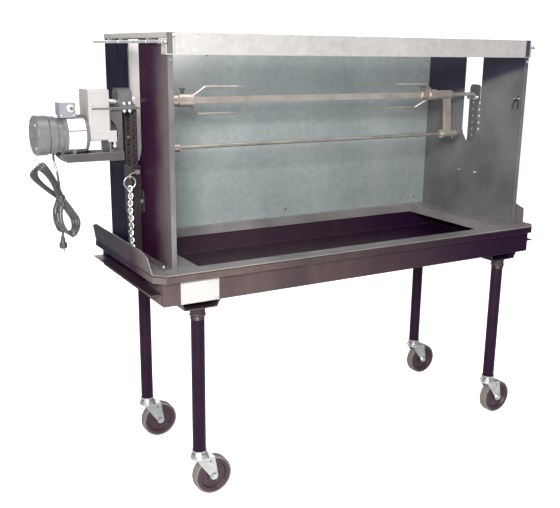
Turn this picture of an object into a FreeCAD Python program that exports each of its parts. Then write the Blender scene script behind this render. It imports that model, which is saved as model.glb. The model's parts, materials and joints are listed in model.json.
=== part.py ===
import FreeCAD, Part
import math
import os

from FreeCAD import Vector

# Rotisserie spit roaster, in millimetres. Everything is drawn about the middle of the fire trough,
# with +X along the trough, +Y to the back and +Z up from the floor. At the very end the whole
# machine is moved by FRAME_SHIFT, which puts the origin under the middle of its bounding box.
FRAME_SHIFT = Vector(123.0, -41.0, 0.0)

X_AXIS = Vector(1, 0, 0)
Y_AXIS = Vector(0, 1, 0)
Z_AXIS = Vector(0, 0, 1)
LEFT, RIGHT = -1, 1

# Sheet metal and the fire trough
SHEET = 3.0
TROUGH_HALF_LENGTH = 740.0
TROUGH_HALF_WIDTH = 275.0
TROUGH_BOTTOM = 655.0
RIM_TOP = 748.0
RIM_HALF_LENGTH = 768.0
RIM_HALF_WIDTH = 293.0
RIM_CHAMFER = 30.0
RIM_LIP = 19.0

# Deck frame on the rim, and its raised end wings
DECK_SPACER = 3.0
DECK_BOTTOM = RIM_TOP + DECK_SPACER
DECK_TOP = DECK_BOTTOM + SHEET
SPACER_INSET = 12.0
OPENING_HALF_LENGTH = 611.0
OPENING_FRONT = -235.0
OPENING_BACK = 268.0
OPENING_HEM = 32.0
WING_HEIGHT = 62.0
WING_LEAN = 14.0
WING_HALF_LENGTH = 262.0
RIGHT_WING_FRONT = 222.0
WING_SHOULDER = 12.0
WING_CORNER = 58.0
WING_KNEE = 12.0

# Ledges, the blank plate and the leg channels
LEDGE_TOP = 693.0
LEDGE_REACH = 36.0
LEDGE_HALF_LENGTH = 265.0
PLATE_X = (-686.0, -562.0)
PLATE_Z = (656.0, 726.0)
PLATE_THICKNESS = 1.5
PLATE_INSET = 7.0
LEG_X = 621.0
LEG_FRONT_Y = -247.0
LEG_BACK_Y = 205.0
CHANNEL_DEPTH = 22.0
CHANNEL_HALF_TOP = 64.0
CHANNEL_HALF_BOTTOM = 53.0
CHANNEL_BOTTOM = TROUGH_BOTTOM - CHANNEL_DEPTH

# Pipe legs and casters
PIPE_R = 21.1
PIPE_WALL = 3.2
PIPE_BOTTOM = 159.0
SOCKET_R = 23.4
SOCKET_HEIGHT = 26.0
SOCKET_RING = 5.0
WHEEL_R = 63.5
WHEEL_HALF_WIDTH = 16.0
CORE_R = 57.0
HUB_R = 17.0
HUB_HALF_WIDTH = 18.0
WEB_HALF_WIDTH = 9.0
CASTER_TRAIL = 42.0
KINGPIN_R = 6.0
CASTER_AXLE_R = 5.0
CASTER_PLATE = 4.0
RACEWAY_R = 28.0
FORK_CROWN_Z = 129.5
FORK_PLATE = 3.0
FORK_INNER_HALF = 18.5
FORK_CHEEK_R = 13.0

# Running clearance on a radius, and clearance round a bolt
RUNNING_GAP = 0.05
BOLT_GAP = 0.2

# Hood: end panels, back panel, front bar
PANEL_INNER_X = 695.0
PANEL_OUTER_X = PANEL_INNER_X + SHEET
PANEL_FRONT_Y = -243.0
PANEL_BACK_Y = 293.0
PANEL_TOP = 1429.0
FLANGE = 12.5
BASE_FLANGE = 20.0
HEM_HEIGHT = 15.0
HEM_X = PANEL_OUTER_X + SHEET
SLOT_Y = (-19.0, 74.0)
SLOT_BOTTOM = 1046.0
SLOT_TOP = 1411.0
SLOT_CORNER = (24.0, 44.0)
BACK_FOLD = 20.0
BAR_HEIGHT = 60.0
BAR_FLANGE = 22.0
BAR_END = 676.0
BAR_STRIP = 2.5
TAB_DEPTH = 31.0
TAB_TOP = PANEL_TOP - HEM_HEIGHT - 1.0

# Latch rods along the tops of the end panels
ROD_R = 4.5
ROD_X = PANEL_OUTER_X + 11.5
ROD_Z = 1403.5
ROD_FRONT_Y = -262.0
ROD_BACK_Y = 375.0
LUG_HALF = 1.3
LUG_EYE_R = ROD_R + 1.3
LUG_TOP = PANEL_TOP - HEM_HEIGHT - 1.0
PANEL_LUG_Y = (-120.0, 113.0, 219.0)
BAR_LUG_Y = (PANEL_FRONT_Y + 5.0, PANEL_FRONT_Y + TAB_DEPTH - SHEET)

# Spit axis, which also centres the slots, masts and posts
SPIT_Y = 25.0
SPIT_Z = 1227.0

# Lift posts in their masts
MAST_INNER_X = PANEL_OUTER_X + 2.1
MAST_WALL = 2.5
POST_GAP = 0.4
POST_WEB_X = MAST_INNER_X + MAST_WALL + POST_GAP
POST_DEPTH = 20.0
POST_HALF_WIDTH = 25.4
POST_WALL = 3.0
POST_BOTTOM = 892.0
POST_TOP = 1206.0
MAST_OUTER_X = POST_WEB_X + POST_DEPTH + POST_GAP + MAST_WALL
MAST_HALF_WIDTH = POST_HALF_WIDTH + POST_GAP + MAST_WALL
MAST_BOTTOM = DECK_TOP + SHEET
MAST_TOP = 1032.0
HOLE_TOP_Z = 1194.0
HOLE_PITCH = 25.4
HOLE_COUNT = 11
HOLE_R = 5.2
HOLE_Y = 30.0
SLEEVE_BOTTOM = 880.0
EAR_Z = (892.0, 958.0)
EAR_HALF_WIDTH = 56.0
BOLT_Z = 923.0
BOLT_OFFSET = 45.0
BOLT_R = 4.0
BOLT_HEX = 13.0
BOLT_HEAD = 5.5
BOLT_NUT = 6.5

# Quick pins that lock the lift, with their rings and chains
PIN_X = POST_WEB_X + 11.0
PIN_Z = HOLE_TOP_Z - 7 * HOLE_PITCH
PIN_R = 4.7
PIN_TIP_GAP = 0.8
PIN_THROW = 13.0
RING_R = 18.5
RING_WIRE_R = 2.0
RING_X = 740.0
RING_Y = -22.0
RING_Z = 985.0
LINK_R = 8.0
LINK_WIRE_R = 2.0

# Left carriage: shelf, bracket, bearing block
SHELF_THICKNESS = 7.0
SHELF_TOP = POST_TOP + SHELF_THICKNESS
SHELF_Y = (-22.0, 75.0)
GEARBOX_X = (-858.0, -795.0)
GEARBOX_Y = (-20.0, 70.0)
GEARBOX_Z = (1116.0, 1266.0)
CASE_WALL = 3.0
BRACKET_PLATE = 5.0
GUSSET_X = -752.0
GUSSET_Y = (-5.0, 52.0)
ARM_Z = (1055.0, 1080.0)
ARM_TIP_X = -946.0
ARM_HALF_WIDTH = 40.0
BLOCK_X = (-761.0, -717.0)
BLOCK_HALF_WIDTH = 29.0
BLOCK_TOP = 1268.0
BLOCK_FOOT = 8.0
BLOCK_BOLT_X = (-745.0, -728.0)
BLOCK_BOLT_Y = (-12.0, 62.0)

# Motor, its housing and what sits on it
MOTOR_Z = 1135.0
MOTOR_R = 58.0
MOTOR_BACK_X = -1011.0
MOTOR_WALL = 4.0
BELL_END_X = -971.0
BAND_END_X = -950.0
WAIST_END_X = -932.0
BARREL_END_X = GEARBOX_X[0]
FRONT_BELL_X = -868.0
STATOR_X = (-925.0, -875.0)
STATOR_BORE_R = 38.5
ROTOR_R = 38.0
MOTOR_SHAFT_R = 6.0
JUNCTION_X = (-942.0, -896.0)
JUNCTION_Y = (-20.0, 30.0)
JUNCTION_BOTTOM = 1187.0
JUNCTION_TOP = 1230.0
SWITCH_X = -910.0
SWITCH_Z = 1214.0
SWITCH_BORE_R = 4.5

# Gear train between the motor and the spit, drawn as plain pitch discs
PINION_R = 8.0
IDLER_WHEEL_R = 37.9
IDLER_PINION_R = 15.9
OUTPUT_GEAR_R = 30.0
IDLER_Z = 1181.0
FIRST_STAGE_X = (-852.0, -840.0)
SECOND_STAGE_X = (-836.0, -822.0)
IDLER_AXLE_R = 4.0

# Spit, forks, arms and brace rod
SHAFT_R = 8.5
COUPLING_X = (-712.0, -704.0)
COUPLING_R = 17.0
BAR_HALF = 10.0
TAPER_X = (560.0, 597.0)
JOURNAL_R = 7.0
SPIT_END_X = 699.0
FORK_REACH = (50.0, 56.0)
FORK_TILT = -33.0
PRONG_R = 4.0
POINT_LENGTH = 30.0
BRACE_DROP = 148.0
ARM_LEAN = -5.5
BRACE_R = 6.0
FOOT_R = 13.0
CLAMP_R = 4.0
ARM_SCREW_X = (-586.0, 588.0)

# Right carriage: keeper plate and rollers
ROLLER_R = 10.95
ROLLER_SPREAD = 14.5
ROLLER_X = (688.0, 702.0)
ROLLER_PIN_R = 3.0
KEEPER_X = POST_WEB_X + POST_WALL
KEEPER_TOP = 1264.0
KEEPER_HALF_WIDTH = 28.5
TONGUE_HALF_WIDTH = 22.0
TONGUE_DROP = 56.0


def box(x0, x1, y0, y1, z0, z1):
    """Block between two opposite corners, given in either order."""
    low = Vector(min(x0, x1), min(y0, y1), min(z0, z1))
    return Part.makeBox(abs(x1 - x0), abs(y1 - y0), abs(z1 - z0), low)


def rod_between(start, end, radius):
    """Round bar from one point to another."""
    run = end - start
    return Part.makeCylinder(radius, run.Length, start, run)


def along_x(radius, x0, x1, y, z):
    return rod_between(Vector(min(x0, x1), y, z), Vector(max(x0, x1), y, z), radius)


def along_y(radius, y0, y1, x, z):
    return rod_between(Vector(x, min(y0, y1), z), Vector(x, max(y0, y1), z), radius)


def along_z(radius, z0, z1, x, y):
    return rod_between(Vector(x, y, min(z0, z1)), Vector(x, y, max(z0, z1)), radius)


def prism(points, push):
    """Flat outline pushed along a vector."""
    face = Part.Face(Part.makePolygon(points + [points[0]]))
    return face.extrude(push)


def hex_along(direction, across_flats, start, length):
    """Hexagonal head or nut, with its axis along a direction."""
    axis = direction / direction.Length
    side = axis.cross(Z_AXIS if abs(axis.z) < 0.9 else X_AXIS)
    side.normalize()
    radius = across_flats / math.sqrt(3.0)
    corners = []
    for step in range(6):
        turn = FreeCAD.Rotation(axis, 60.0 * step)
        corners.append(start + turn.multVec(side) * radius)
    return prism(corners, axis * length)


def fused(solids):
    """One clean solid from touching or overlapping ones."""
    whole = solids[0]
    for piece in solids[1:]:
        whole = whole.fuse(piece)
    return whole.removeSplitter()


def drilled(solid, tools):
    for tool in tools:
        solid = solid.cut(tool)
    return solid.removeSplitter()


def turned(solid, centre, axis, degrees):
    copy = solid.copy()
    copy.rotate(centre, axis, degrees)
    return copy


def mirrored_x(solid):
    """The same solid on the other end of the machine."""
    return solid.mirror(Vector(0, 0, 0), X_AXIS)


def on_side(side, solid):
    """Pieces are drawn for the right end, and mirrored for the left one."""
    return solid if side == RIGHT else mirrored_x(solid)


# ---------------------------------------------------------------- trough and deck


def rim_outline(inset, z):
    """Rim rectangle with its four corners cut off, moved in by an inset."""
    length = RIM_HALF_LENGTH - inset
    width = RIM_HALF_WIDTH - inset
    cut = RIM_CHAMFER - inset * (2.0 - math.sqrt(2.0))
    corners = []
    for x_sign, y_sign in ((-1, -1), (1, -1), (1, 1), (-1, 1)):
        along = Vector(x_sign * (length - cut), y_sign * width, z)
        across = Vector(x_sign * length, y_sign * (width - cut), z)
        corners += [across, along] if x_sign * y_sign > 0 else [along, across]
    return corners


def fire_trough():
    """Open box, with a rim turned outward and its edge folded down."""
    inner_length = TROUGH_HALF_LENGTH - SHEET
    inner_width = TROUGH_HALF_WIDTH - SHEET
    shell = box(-TROUGH_HALF_LENGTH, TROUGH_HALF_LENGTH, -TROUGH_HALF_WIDTH, TROUGH_HALF_WIDTH,
                TROUGH_BOTTOM, RIM_TOP)
    lip_bottom = RIM_TOP - RIM_LIP
    rim = prism(rim_outline(0.0, lip_bottom), Z_AXIS * RIM_LIP)
    rim = rim.cut(prism(rim_outline(SHEET, lip_bottom), Z_AXIS * (RIM_LIP - SHEET)))
    hollow = box(-inner_length, inner_length, -inner_width, inner_width, TROUGH_BOTTOM + SHEET, RIM_TOP)
    return drilled(fused([rim, shell]), [hollow])


def wing(side):
    """Sheet raised along one end of the deck, leaning outward, with its top corners cut."""
    front = WING_HALF_LENGTH if side == LEFT else RIGHT_WING_FRONT
    top = DECK_TOP + WING_HEIGHT
    x = RIM_HALF_LENGTH
    section = [Vector(x - SHEET, -WING_HALF_LENGTH, DECK_BOTTOM), Vector(x, -WING_HALF_LENGTH, DECK_BOTTOM),
               Vector(x + WING_LEAN, -WING_HALF_LENGTH, top),
               Vector(x + WING_LEAN - SHEET, -WING_HALF_LENGTH, top)]
    leaning = prism(section, Y_AXIS * (2 * WING_HALF_LENGTH))
    knee_y = WING_HALF_LENGTH - WING_SHOULDER
    top_y = WING_HALF_LENGTH - WING_CORNER
    outline = [Vector(x - SHEET, -front, DECK_BOTTOM),
               Vector(x - SHEET, WING_HALF_LENGTH, DECK_BOTTOM),
               Vector(x - SHEET, knee_y, top - WING_KNEE), Vector(x - SHEET, top_y, top),
               Vector(x - SHEET, WING_CORNER - front, top),
               Vector(x - SHEET, WING_SHOULDER - front, top - WING_KNEE)]
    return on_side(side, leaning.common(prism(outline, X_AXIS * (SHEET + WING_LEAN))))


def deck_frame():
    """Frame plate on a spacer ring, with a large hemmed fire opening and a wing at each end."""
    plate = prism(rim_outline(0.0, DECK_BOTTOM), Z_AXIS * SHEET)
    spacer = prism(rim_outline(SPACER_INSET, RIM_TOP), Z_AXIS * DECK_SPACER)
    clear_x = TROUGH_HALF_LENGTH - SHEET
    clear_y = TROUGH_HALF_WIDTH - SHEET
    spacer = spacer.cut(box(-clear_x, clear_x, -clear_y, clear_y, RIM_TOP, DECK_BOTTOM))
    hem = box(-OPENING_HALF_LENGTH - SHEET, OPENING_HALF_LENGTH + SHEET,
              OPENING_FRONT - SHEET, OPENING_BACK + SHEET, DECK_TOP - OPENING_HEM, DECK_TOP)
    opening = box(-OPENING_HALF_LENGTH, OPENING_HALF_LENGTH, OPENING_FRONT, OPENING_BACK,
                  DECK_TOP - OPENING_HEM, DECK_TOP)
    return drilled(fused([plate, spacer, hem, wing(LEFT), wing(RIGHT)]), [opening])


def end_ledges():
    """Angle along each end wall: a shelf pointing out and a leg on the wall."""
    ledges = []
    for side in (LEFT, RIGHT):
        shelf = box(TROUGH_HALF_LENGTH, TROUGH_HALF_LENGTH + LEDGE_REACH,
                    -LEDGE_HALF_LENGTH, LEDGE_HALF_LENGTH, LEDGE_TOP - SHEET, LEDGE_TOP)
        leg = box(TROUGH_HALF_LENGTH, TROUGH_HALF_LENGTH + SHEET,
                  -LEDGE_HALF_LENGTH, LEDGE_HALF_LENGTH, LEDGE_TOP - LEDGE_REACH, LEDGE_TOP)
        ledges.append(on_side(side, fused([shelf, leg])))
    return Part.makeCompound(ledges)


def front_plate():
    """Blank plate on the front wall, near its left end."""
    plate = box(PLATE_X[0], PLATE_X[1], -TROUGH_HALF_WIDTH - PLATE_THICKNESS, -TROUGH_HALF_WIDTH,
                PLATE_Z[0], PLATE_Z[1])
    return plate


def leg_channels():
    """Folded channel from front to back under each end of the trough."""
    channels = []
    for side in (LEFT, RIGHT):
        outer = [(-CHANNEL_HALF_TOP, TROUGH_BOTTOM), (-CHANNEL_HALF_BOTTOM, CHANNEL_BOTTOM),
                 (CHANNEL_HALF_BOTTOM, CHANNEL_BOTTOM), (CHANNEL_HALF_TOP, TROUGH_BOTTOM)]
        slant = SHEET * 1.4
        inner = [(-CHANNEL_HALF_TOP + slant, TROUGH_BOTTOM),
                 (-CHANNEL_HALF_BOTTOM + SHEET / 2, CHANNEL_BOTTOM + SHEET),
                 (CHANNEL_HALF_BOTTOM - SHEET / 2, CHANNEL_BOTTOM + SHEET),
                 (CHANNEL_HALF_TOP - slant, TROUGH_BOTTOM)]
        solids = []
        for outline in (outer, inner):
            points = [Vector(LEG_X + x, -TROUGH_HALF_WIDTH, z) for x, z in outline]
            solids.append(prism(points, Y_AXIS * (2 * TROUGH_HALF_WIDTH)))
        channels.append(on_side(side, solids[0].cut(solids[1])))
    return Part.makeCompound(channels)


# ---------------------------------------------------------------- legs and casters


def leg_places():
    """Name and position of each leg, seen from the front."""
    return {"front_left": (-LEG_X, LEG_FRONT_Y), "front_right": (LEG_X, LEG_FRONT_Y),
            "back_left": (-LEG_X, LEG_BACK_Y), "back_right": (LEG_X, LEG_BACK_Y)}


def leg_sockets():
    """Collar under each channel that the pipe leg screws into, with a thicker bottom ring."""
    sockets = []
    bottom = CHANNEL_BOTTOM - SOCKET_HEIGHT
    for x, y in leg_places().values():
        collar = along_z(SOCKET_R, bottom, CHANNEL_BOTTOM, x, y)
        ring = along_z(SOCKET_R + 1.6, bottom, bottom + SOCKET_RING, x, y)
        bore = along_z(PIPE_R + RUNNING_GAP, bottom, CHANNEL_BOTTOM, x, y)
        sockets.append(drilled(fused([collar, ring]), [bore]))
    return Part.makeCompound(sockets)


def leg_pipes():
    pipes = []
    for x, y in leg_places().values():
        outer = along_z(PIPE_R, PIPE_BOTTOM, CHANNEL_BOTTOM, x, y)
        pipes.append(outer.cut(along_z(PIPE_R - PIPE_WALL, PIPE_BOTTOM, CHANNEL_BOTTOM, x, y)))
    return Part.makeCompound(pipes)


def caster_stems():
    """Fixed part of each caster: plug in the pipe, top plate and kingpin with its head."""
    stems = []
    plate_bottom = PIPE_BOTTOM - CASTER_PLATE
    for x, y in leg_places().values():
        plug = along_z(PIPE_R - PIPE_WALL - RUNNING_GAP, PIPE_BOTTOM, PIPE_BOTTOM + 28.0, x, y)
        plate = along_z(PIPE_R + 2.5, plate_bottom, PIPE_BOTTOM, x, y)
        kingpin = along_z(KINGPIN_R, FORK_CROWN_Z - 7.0, plate_bottom, x, y)
        head = along_z(KINGPIN_R + 4.0, FORK_CROWN_Z - 7.0, FORK_CROWN_Z - 2.0, x, y)
        stems.append(fused([plug, plate, kingpin, head]))
    return Part.makeCompound(stems)


def caster_fork(x, y):
    """Swivel fork trailing towards +X: raceway head, crown plate, two cheeks, and the axle bolt."""
    head_top = PIPE_BOTTOM - CASTER_PLATE - 1.0
    crown_top = FORK_CROWN_Z + FORK_PLATE
    profile = [Vector(x + r, y, z) for r, z in
               ((0.0, crown_top - 1.0), (RACEWAY_R, crown_top - 1.0), (RACEWAY_R, crown_top + 7.0),
                (RACEWAY_R - 3.0, crown_top + 10.0), (RACEWAY_R - 3.0, crown_top + 13.0),
                (RACEWAY_R - 9.0, head_top), (0.0, head_top))]
    head = Part.Face(Part.makePolygon(profile + [profile[0]])).revolve(Vector(x, y, 0), Z_AXIS, 360)
    cheek_outer = FORK_INNER_HALF + FORK_PLATE
    crown = along_z(RACEWAY_R, FORK_CROWN_Z, crown_top, x, y)
    crown = crown.fuse(box(x - 14.0, x + 44.0, y - cheek_outer, y + cheek_outer, FORK_CROWN_Z, crown_top))
    solids = [head, crown]
    axle_x = x + CASTER_TRAIL
    for face in (y - cheek_outer, y + FORK_INNER_HALF):
        outline = [(x - 14.0, crown_top), (x - 14.0, crown_top - 8.0),
                   (axle_x - FORK_CHEEK_R, WHEEL_R), (axle_x + FORK_CHEEK_R, WHEEL_R),
                   (x + 44.0, crown_top)]
        cheek = prism([Vector(px, face, pz) for px, pz in outline], Y_AXIS * FORK_PLATE)
        window = box(x + 27.0, x + 32.0, face, face + FORK_PLATE, crown_top - 17.0, crown_top - 12.0)
        cheek = cheek.cut(window)
        solids += [cheek, along_y(FORK_CHEEK_R, face, face + FORK_PLATE, axle_x, WHEEL_R)]
    kingpin_bore = along_z(KINGPIN_R + RUNNING_GAP, FORK_CROWN_Z, head_top, x, y)
    axle_bore = along_y(CASTER_AXLE_R + RUNNING_GAP, y - cheek_outer, y + cheek_outer, axle_x, WHEEL_R)
    fork = drilled(fused(solids), [kingpin_bore, axle_bore])
    shank = along_y(CASTER_AXLE_R, y - cheek_outer, y + cheek_outer + 10.0, axle_x, WHEEL_R)
    head_hex = hex_along(Y_AXIS, 17.0, Vector(axle_x, y - cheek_outer - 6.0, WHEEL_R), 6.0)
    nut = hex_along(Y_AXIS, 17.0, Vector(axle_x, y + cheek_outer, WHEEL_R), 7.5)
    nut = nut.cut(along_y(CASTER_AXLE_R + RUNNING_GAP, y, y + 60.0, axle_x, WHEEL_R))
    return Part.makeCompound([fork, fused([shank, head_hex]), nut])


def spun_about_axle(x, y, profile):
    """Ring from half of its cross-section, given as radius and offset along the axle."""
    points = [Vector(x, y + offset, WHEEL_R + radius) for radius, offset in profile]
    face = Part.Face(Part.makePolygon(points + [points[0]]))
    return face.revolve(Vector(x, y, WHEEL_R), Y_AXIS, 360)


def caster_wheel(x, y):
    """Wheel core with hub, thinner web and rim."""
    bore = CASTER_AXLE_R + RUNNING_GAP
    half = WHEEL_HALF_WIDTH
    web = WEB_HALF_WIDTH
    rim_r = CORE_R - 11.0
    profile = [(bore, -HUB_HALF_WIDTH), (HUB_R, -HUB_HALF_WIDTH), (HUB_R, -web), (rim_r - 4.0, -web),
               (rim_r, -half), (CORE_R, -half), (CORE_R, half), (rim_r, half), (rim_r - 4.0, web),
               (HUB_R, web), (HUB_R, HUB_HALF_WIDTH), (bore, HUB_HALF_WIDTH)]
    return spun_about_axle(x + CASTER_TRAIL, y, profile)


def caster_tread(x, y):
    """Tyre band around the core, with rounded shoulders."""
    half = WHEEL_HALF_WIDTH
    profile = [(CORE_R, -half), (WHEEL_R - 3.0, -half), (WHEEL_R - 0.9, -half + 1.2),
               (WHEEL_R, -half + 4.0), (WHEEL_R, half - 4.0), (WHEEL_R - 0.9, half - 1.2),
               (WHEEL_R - 3.0, half), (CORE_R, half)]
    return spun_about_axle(x + CASTER_TRAIL, y, profile)


# ---------------------------------------------------------------- hood


def bolt_stations():
    """Y positions of the two bolts that hold each mast bracket."""
    return (SPIT_Y - BOLT_OFFSET, SPIT_Y + BOLT_OFFSET)


def slot_cutter():
    """Slot for the spit in the right panel, narrowing in two steps at its bottom."""
    x = PANEL_INNER_X - SHEET
    front, back = SLOT_Y
    across, up = SLOT_CORNER
    points = [Vector(x, front, SLOT_TOP), Vector(x, front, SLOT_BOTTOM + up),
              Vector(x, front + across / 3, SLOT_BOTTOM + up / 2), Vector(x, front + across, SLOT_BOTTOM),
              Vector(x, back - across, SLOT_BOTTOM), Vector(x, back - across / 3, SLOT_BOTTOM + up / 2),
              Vector(x, back, SLOT_BOTTOM + up), Vector(x, back, SLOT_TOP)]
    return prism(points, X_AXIS * (3 * SHEET))


def side_panel(side):
    """End panel: slotted sheet, flanges turned in at front and back, base flange and top hem out."""
    sheet = box(PANEL_INNER_X, PANEL_OUTER_X, PANEL_FRONT_Y, PANEL_BACK_Y, DECK_TOP, PANEL_TOP)
    inner_edge = PANEL_INNER_X - FLANGE
    front = box(inner_edge, PANEL_INNER_X, PANEL_FRONT_Y, PANEL_FRONT_Y + SHEET, DECK_TOP, PANEL_TOP)
    back = box(inner_edge, PANEL_INNER_X, PANEL_BACK_Y - SHEET, PANEL_BACK_Y, DECK_TOP, PANEL_TOP)
    base = box(PANEL_OUTER_X, PANEL_OUTER_X + BASE_FLANGE, PANEL_FRONT_Y, PANEL_BACK_Y,
               DECK_TOP, DECK_TOP + SHEET)
    hem = box(PANEL_OUTER_X, HEM_X, PANEL_FRONT_Y, PANEL_BACK_Y, PANEL_TOP - HEM_HEIGHT, PANEL_TOP)
    holes = [slot_cutter()]
    for y in bolt_stations():
        holes.append(along_x(BOLT_R + BOLT_GAP, PANEL_INNER_X, PANEL_OUTER_X, y, BOLT_Z))
    return on_side(side, drilled(fused([sheet, front, back, base, hem]), holes))


def back_panel():
    """Sheet in front of the back flanges, with its top edge folded forward."""
    back = PANEL_BACK_Y - SHEET
    half = PANEL_INNER_X - 0.5
    sheet = box(-half, half, back - SHEET, back, DECK_TOP, PANEL_TOP)
    fold = box(-half, half, back - BACK_FOLD, back, PANEL_TOP - SHEET, PANEL_TOP)
    return fused([sheet, fold])


def rod_lug(y, root_x):
    """Eye hung from a short arm that stands out from a face, with the latch rod's hole."""
    arm = box(root_x, ROD_X + LUG_HALF, y, y + SHEET, LUG_TOP - 3.0, LUG_TOP)
    stem = box(ROD_X - LUG_HALF, ROD_X + LUG_HALF, y, y + SHEET, ROD_Z, LUG_TOP)
    eye = along_y(LUG_EYE_R, y, y + SHEET, ROD_X, ROD_Z)
    return fused([arm, stem, eye]).cut(along_y(ROD_R + RUNNING_GAP, y, y + SHEET, ROD_X, ROD_Z))


def front_top_bar():
    """Channel across the top of the front, with a strip and a lugged tab round each end panel."""
    reach = HEM_X + SHEET
    bottom = PANEL_TOP - BAR_HEIGHT
    face_y = PANEL_FRONT_Y - SHEET
    inner = BAR_END - 2.0
    tab_back = PANEL_FRONT_Y + TAB_DEPTH
    face = box(-BAR_END, BAR_END, face_y, PANEL_FRONT_Y, bottom, PANEL_TOP)
    strip = box(-reach, reach, face_y, PANEL_FRONT_Y, bottom, bottom + BAR_STRIP)
    top = box(-inner, inner, face_y, PANEL_FRONT_Y + BAR_FLANGE, PANEL_TOP - SHEET, PANEL_TOP)
    low = box(-inner, inner, face_y, PANEL_FRONT_Y + BAR_FLANGE / 2, bottom, bottom + SHEET)
    solids = [face, strip, top, low]
    slots = []
    for side in (LEFT, RIGHT):
        solids.append(on_side(side, box(HEM_X, reach, face_y, tab_back, bottom, TAB_TOP)))
        for y in BAR_LUG_Y:
            solids.append(on_side(side, rod_lug(y, reach)))
        slot = box(HEM_X, reach, tab_back - 16.0, tab_back - 9.0, bottom + 8.0, bottom + 22.0)
        slots.append(on_side(side, slot))
    return drilled(fused(solids), slots)


def rod_lugs():
    """Lugs on the end panels that carry the latch rods."""
    return Part.makeCompound([on_side(side, rod_lug(y, PANEL_OUTER_X))
                              for side in (LEFT, RIGHT) for y in PANEL_LUG_Y])


def latch_rod(side):
    """Long rod that slides back to free the front bar, with rounded ends."""
    front, back = ROD_FRONT_Y + ROD_R, ROD_BACK_Y - ROD_R
    body = along_y(ROD_R, front, back, ROD_X, ROD_Z)
    ends = [Part.makeSphere(ROD_R, Vector(ROD_X, y, ROD_Z)) for y in (front, back)]
    return on_side(side, fused([body] + ends))


def screw_head(centre, direction, across_flats):
    """Hexagonal screw head standing on a face."""
    return hex_along(direction, across_flats, centre, across_flats * 0.4)


def panel_screws():
    """Screw heads on the back panel, the front flanges, the base flanges and the plate."""
    screws = []
    back_face = PANEL_BACK_Y - 2 * SHEET
    for x in (-560.0, -330.0, 0.0, 330.0, 560.0):
        screws.append(screw_head(Vector(x, back_face, PANEL_TOP - 64.0), -Y_AXIS, 9.0))
    for x in (-640.0, 0.0, 640.0):
        screws.append(screw_head(Vector(x, back_face, DECK_TOP + 30.0), -Y_AXIS, 9.0))
    flange_x = PANEL_INNER_X - FLANGE / 2
    for x in (-flange_x, flange_x):
        screws.append(screw_head(Vector(x, PANEL_FRONT_Y, PANEL_TOP - BAR_HEIGHT - 14.0), -Y_AXIS, 9.0))
    base_x = PANEL_OUTER_X + BASE_FLANGE / 2
    for x in (-base_x, base_x):
        for y in (PANEL_FRONT_Y + 40.0, PANEL_BACK_Y - 40.0):
            screws.append(screw_head(Vector(x, y, DECK_TOP + SHEET), Z_AXIS, 9.0))
    plate_face = -TROUGH_HALF_WIDTH - PLATE_THICKNESS
    for x in (PLATE_X[0] + PLATE_INSET, PLATE_X[1] - PLATE_INSET):
        for z in (PLATE_Z[0] + PLATE_INSET, PLATE_Z[1] - PLATE_INSET):
            screws.append(screw_head(Vector(x, plate_face, z), -Y_AXIS, 4.5))
    return Part.makeCompound(screws)


def tool_hook():
    """Wire hook on the inside of the right panel: two feet on the sheet and a drooping nose."""
    y, z = -214.0, 1219.0
    root = PANEL_INNER_X - 2.5
    arch = [Vector(root, y, z - 34.0), Vector(root - 1.5, y, z + 12.0), Vector(root - 5.0, y, z),
            Vector(root - 16.0, y, z - 3.0), Vector(root - 25.0, y, z - 12.0),
            Vector(root - 27.0, y, z - 32.0)]
    return bent_rod(arch, 2.2)


# ---------------------------------------------------------------- lift


def both_ends(solid):
    """The solid on the right end and its mirror image on the left end."""
    return Part.makeCompound([mirrored_x(solid), solid])


def lift_masts():
    """Rectangular tube beside each end panel, standing on the panel's base flange."""
    front, back = SPIT_Y - MAST_HALF_WIDTH, SPIT_Y + MAST_HALF_WIDTH
    tube = box(MAST_INNER_X, MAST_OUTER_X, front, back, MAST_BOTTOM, MAST_TOP)
    bore = box(MAST_INNER_X + MAST_WALL, MAST_OUTER_X - MAST_WALL, front + MAST_WALL,
               back - MAST_WALL, MAST_BOTTOM, MAST_TOP)
    pin_hole = along_y(PIN_R + RUNNING_GAP, front, front + MAST_WALL, PIN_X, PIN_Z)
    return both_ends(drilled(tube, [bore, pin_hole]))


def mast_brackets():
    """Sleeve folded round three sides of the mast, with two ears bolted to the end panel."""
    half = MAST_HALF_WIDTH
    sleeve = box(PANEL_OUTER_X, MAST_OUTER_X + SHEET, SPIT_Y - half - SHEET, SPIT_Y + half + SHEET,
                 SLEEVE_BOTTOM, MAST_TOP)
    inside = box(PANEL_OUTER_X, MAST_OUTER_X, SPIT_Y - half, SPIT_Y + half, SLEEVE_BOTTOM, MAST_TOP)
    ears = box(PANEL_OUTER_X, PANEL_OUTER_X + SHEET, SPIT_Y - EAR_HALF_WIDTH, SPIT_Y + EAR_HALF_WIDTH,
               EAR_Z[0], EAR_Z[1])
    holes = [inside, along_y(PIN_R + RUNNING_GAP, SPIT_Y - half - SHEET, SPIT_Y - half, PIN_X, PIN_Z)]
    for y in bolt_stations():
        holes.append(along_x(BOLT_R + BOLT_GAP, PANEL_OUTER_X, PANEL_OUTER_X + SHEET, y, BOLT_Z))
    return both_ends(drilled(fused([sleeve, ears]), holes))


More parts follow.
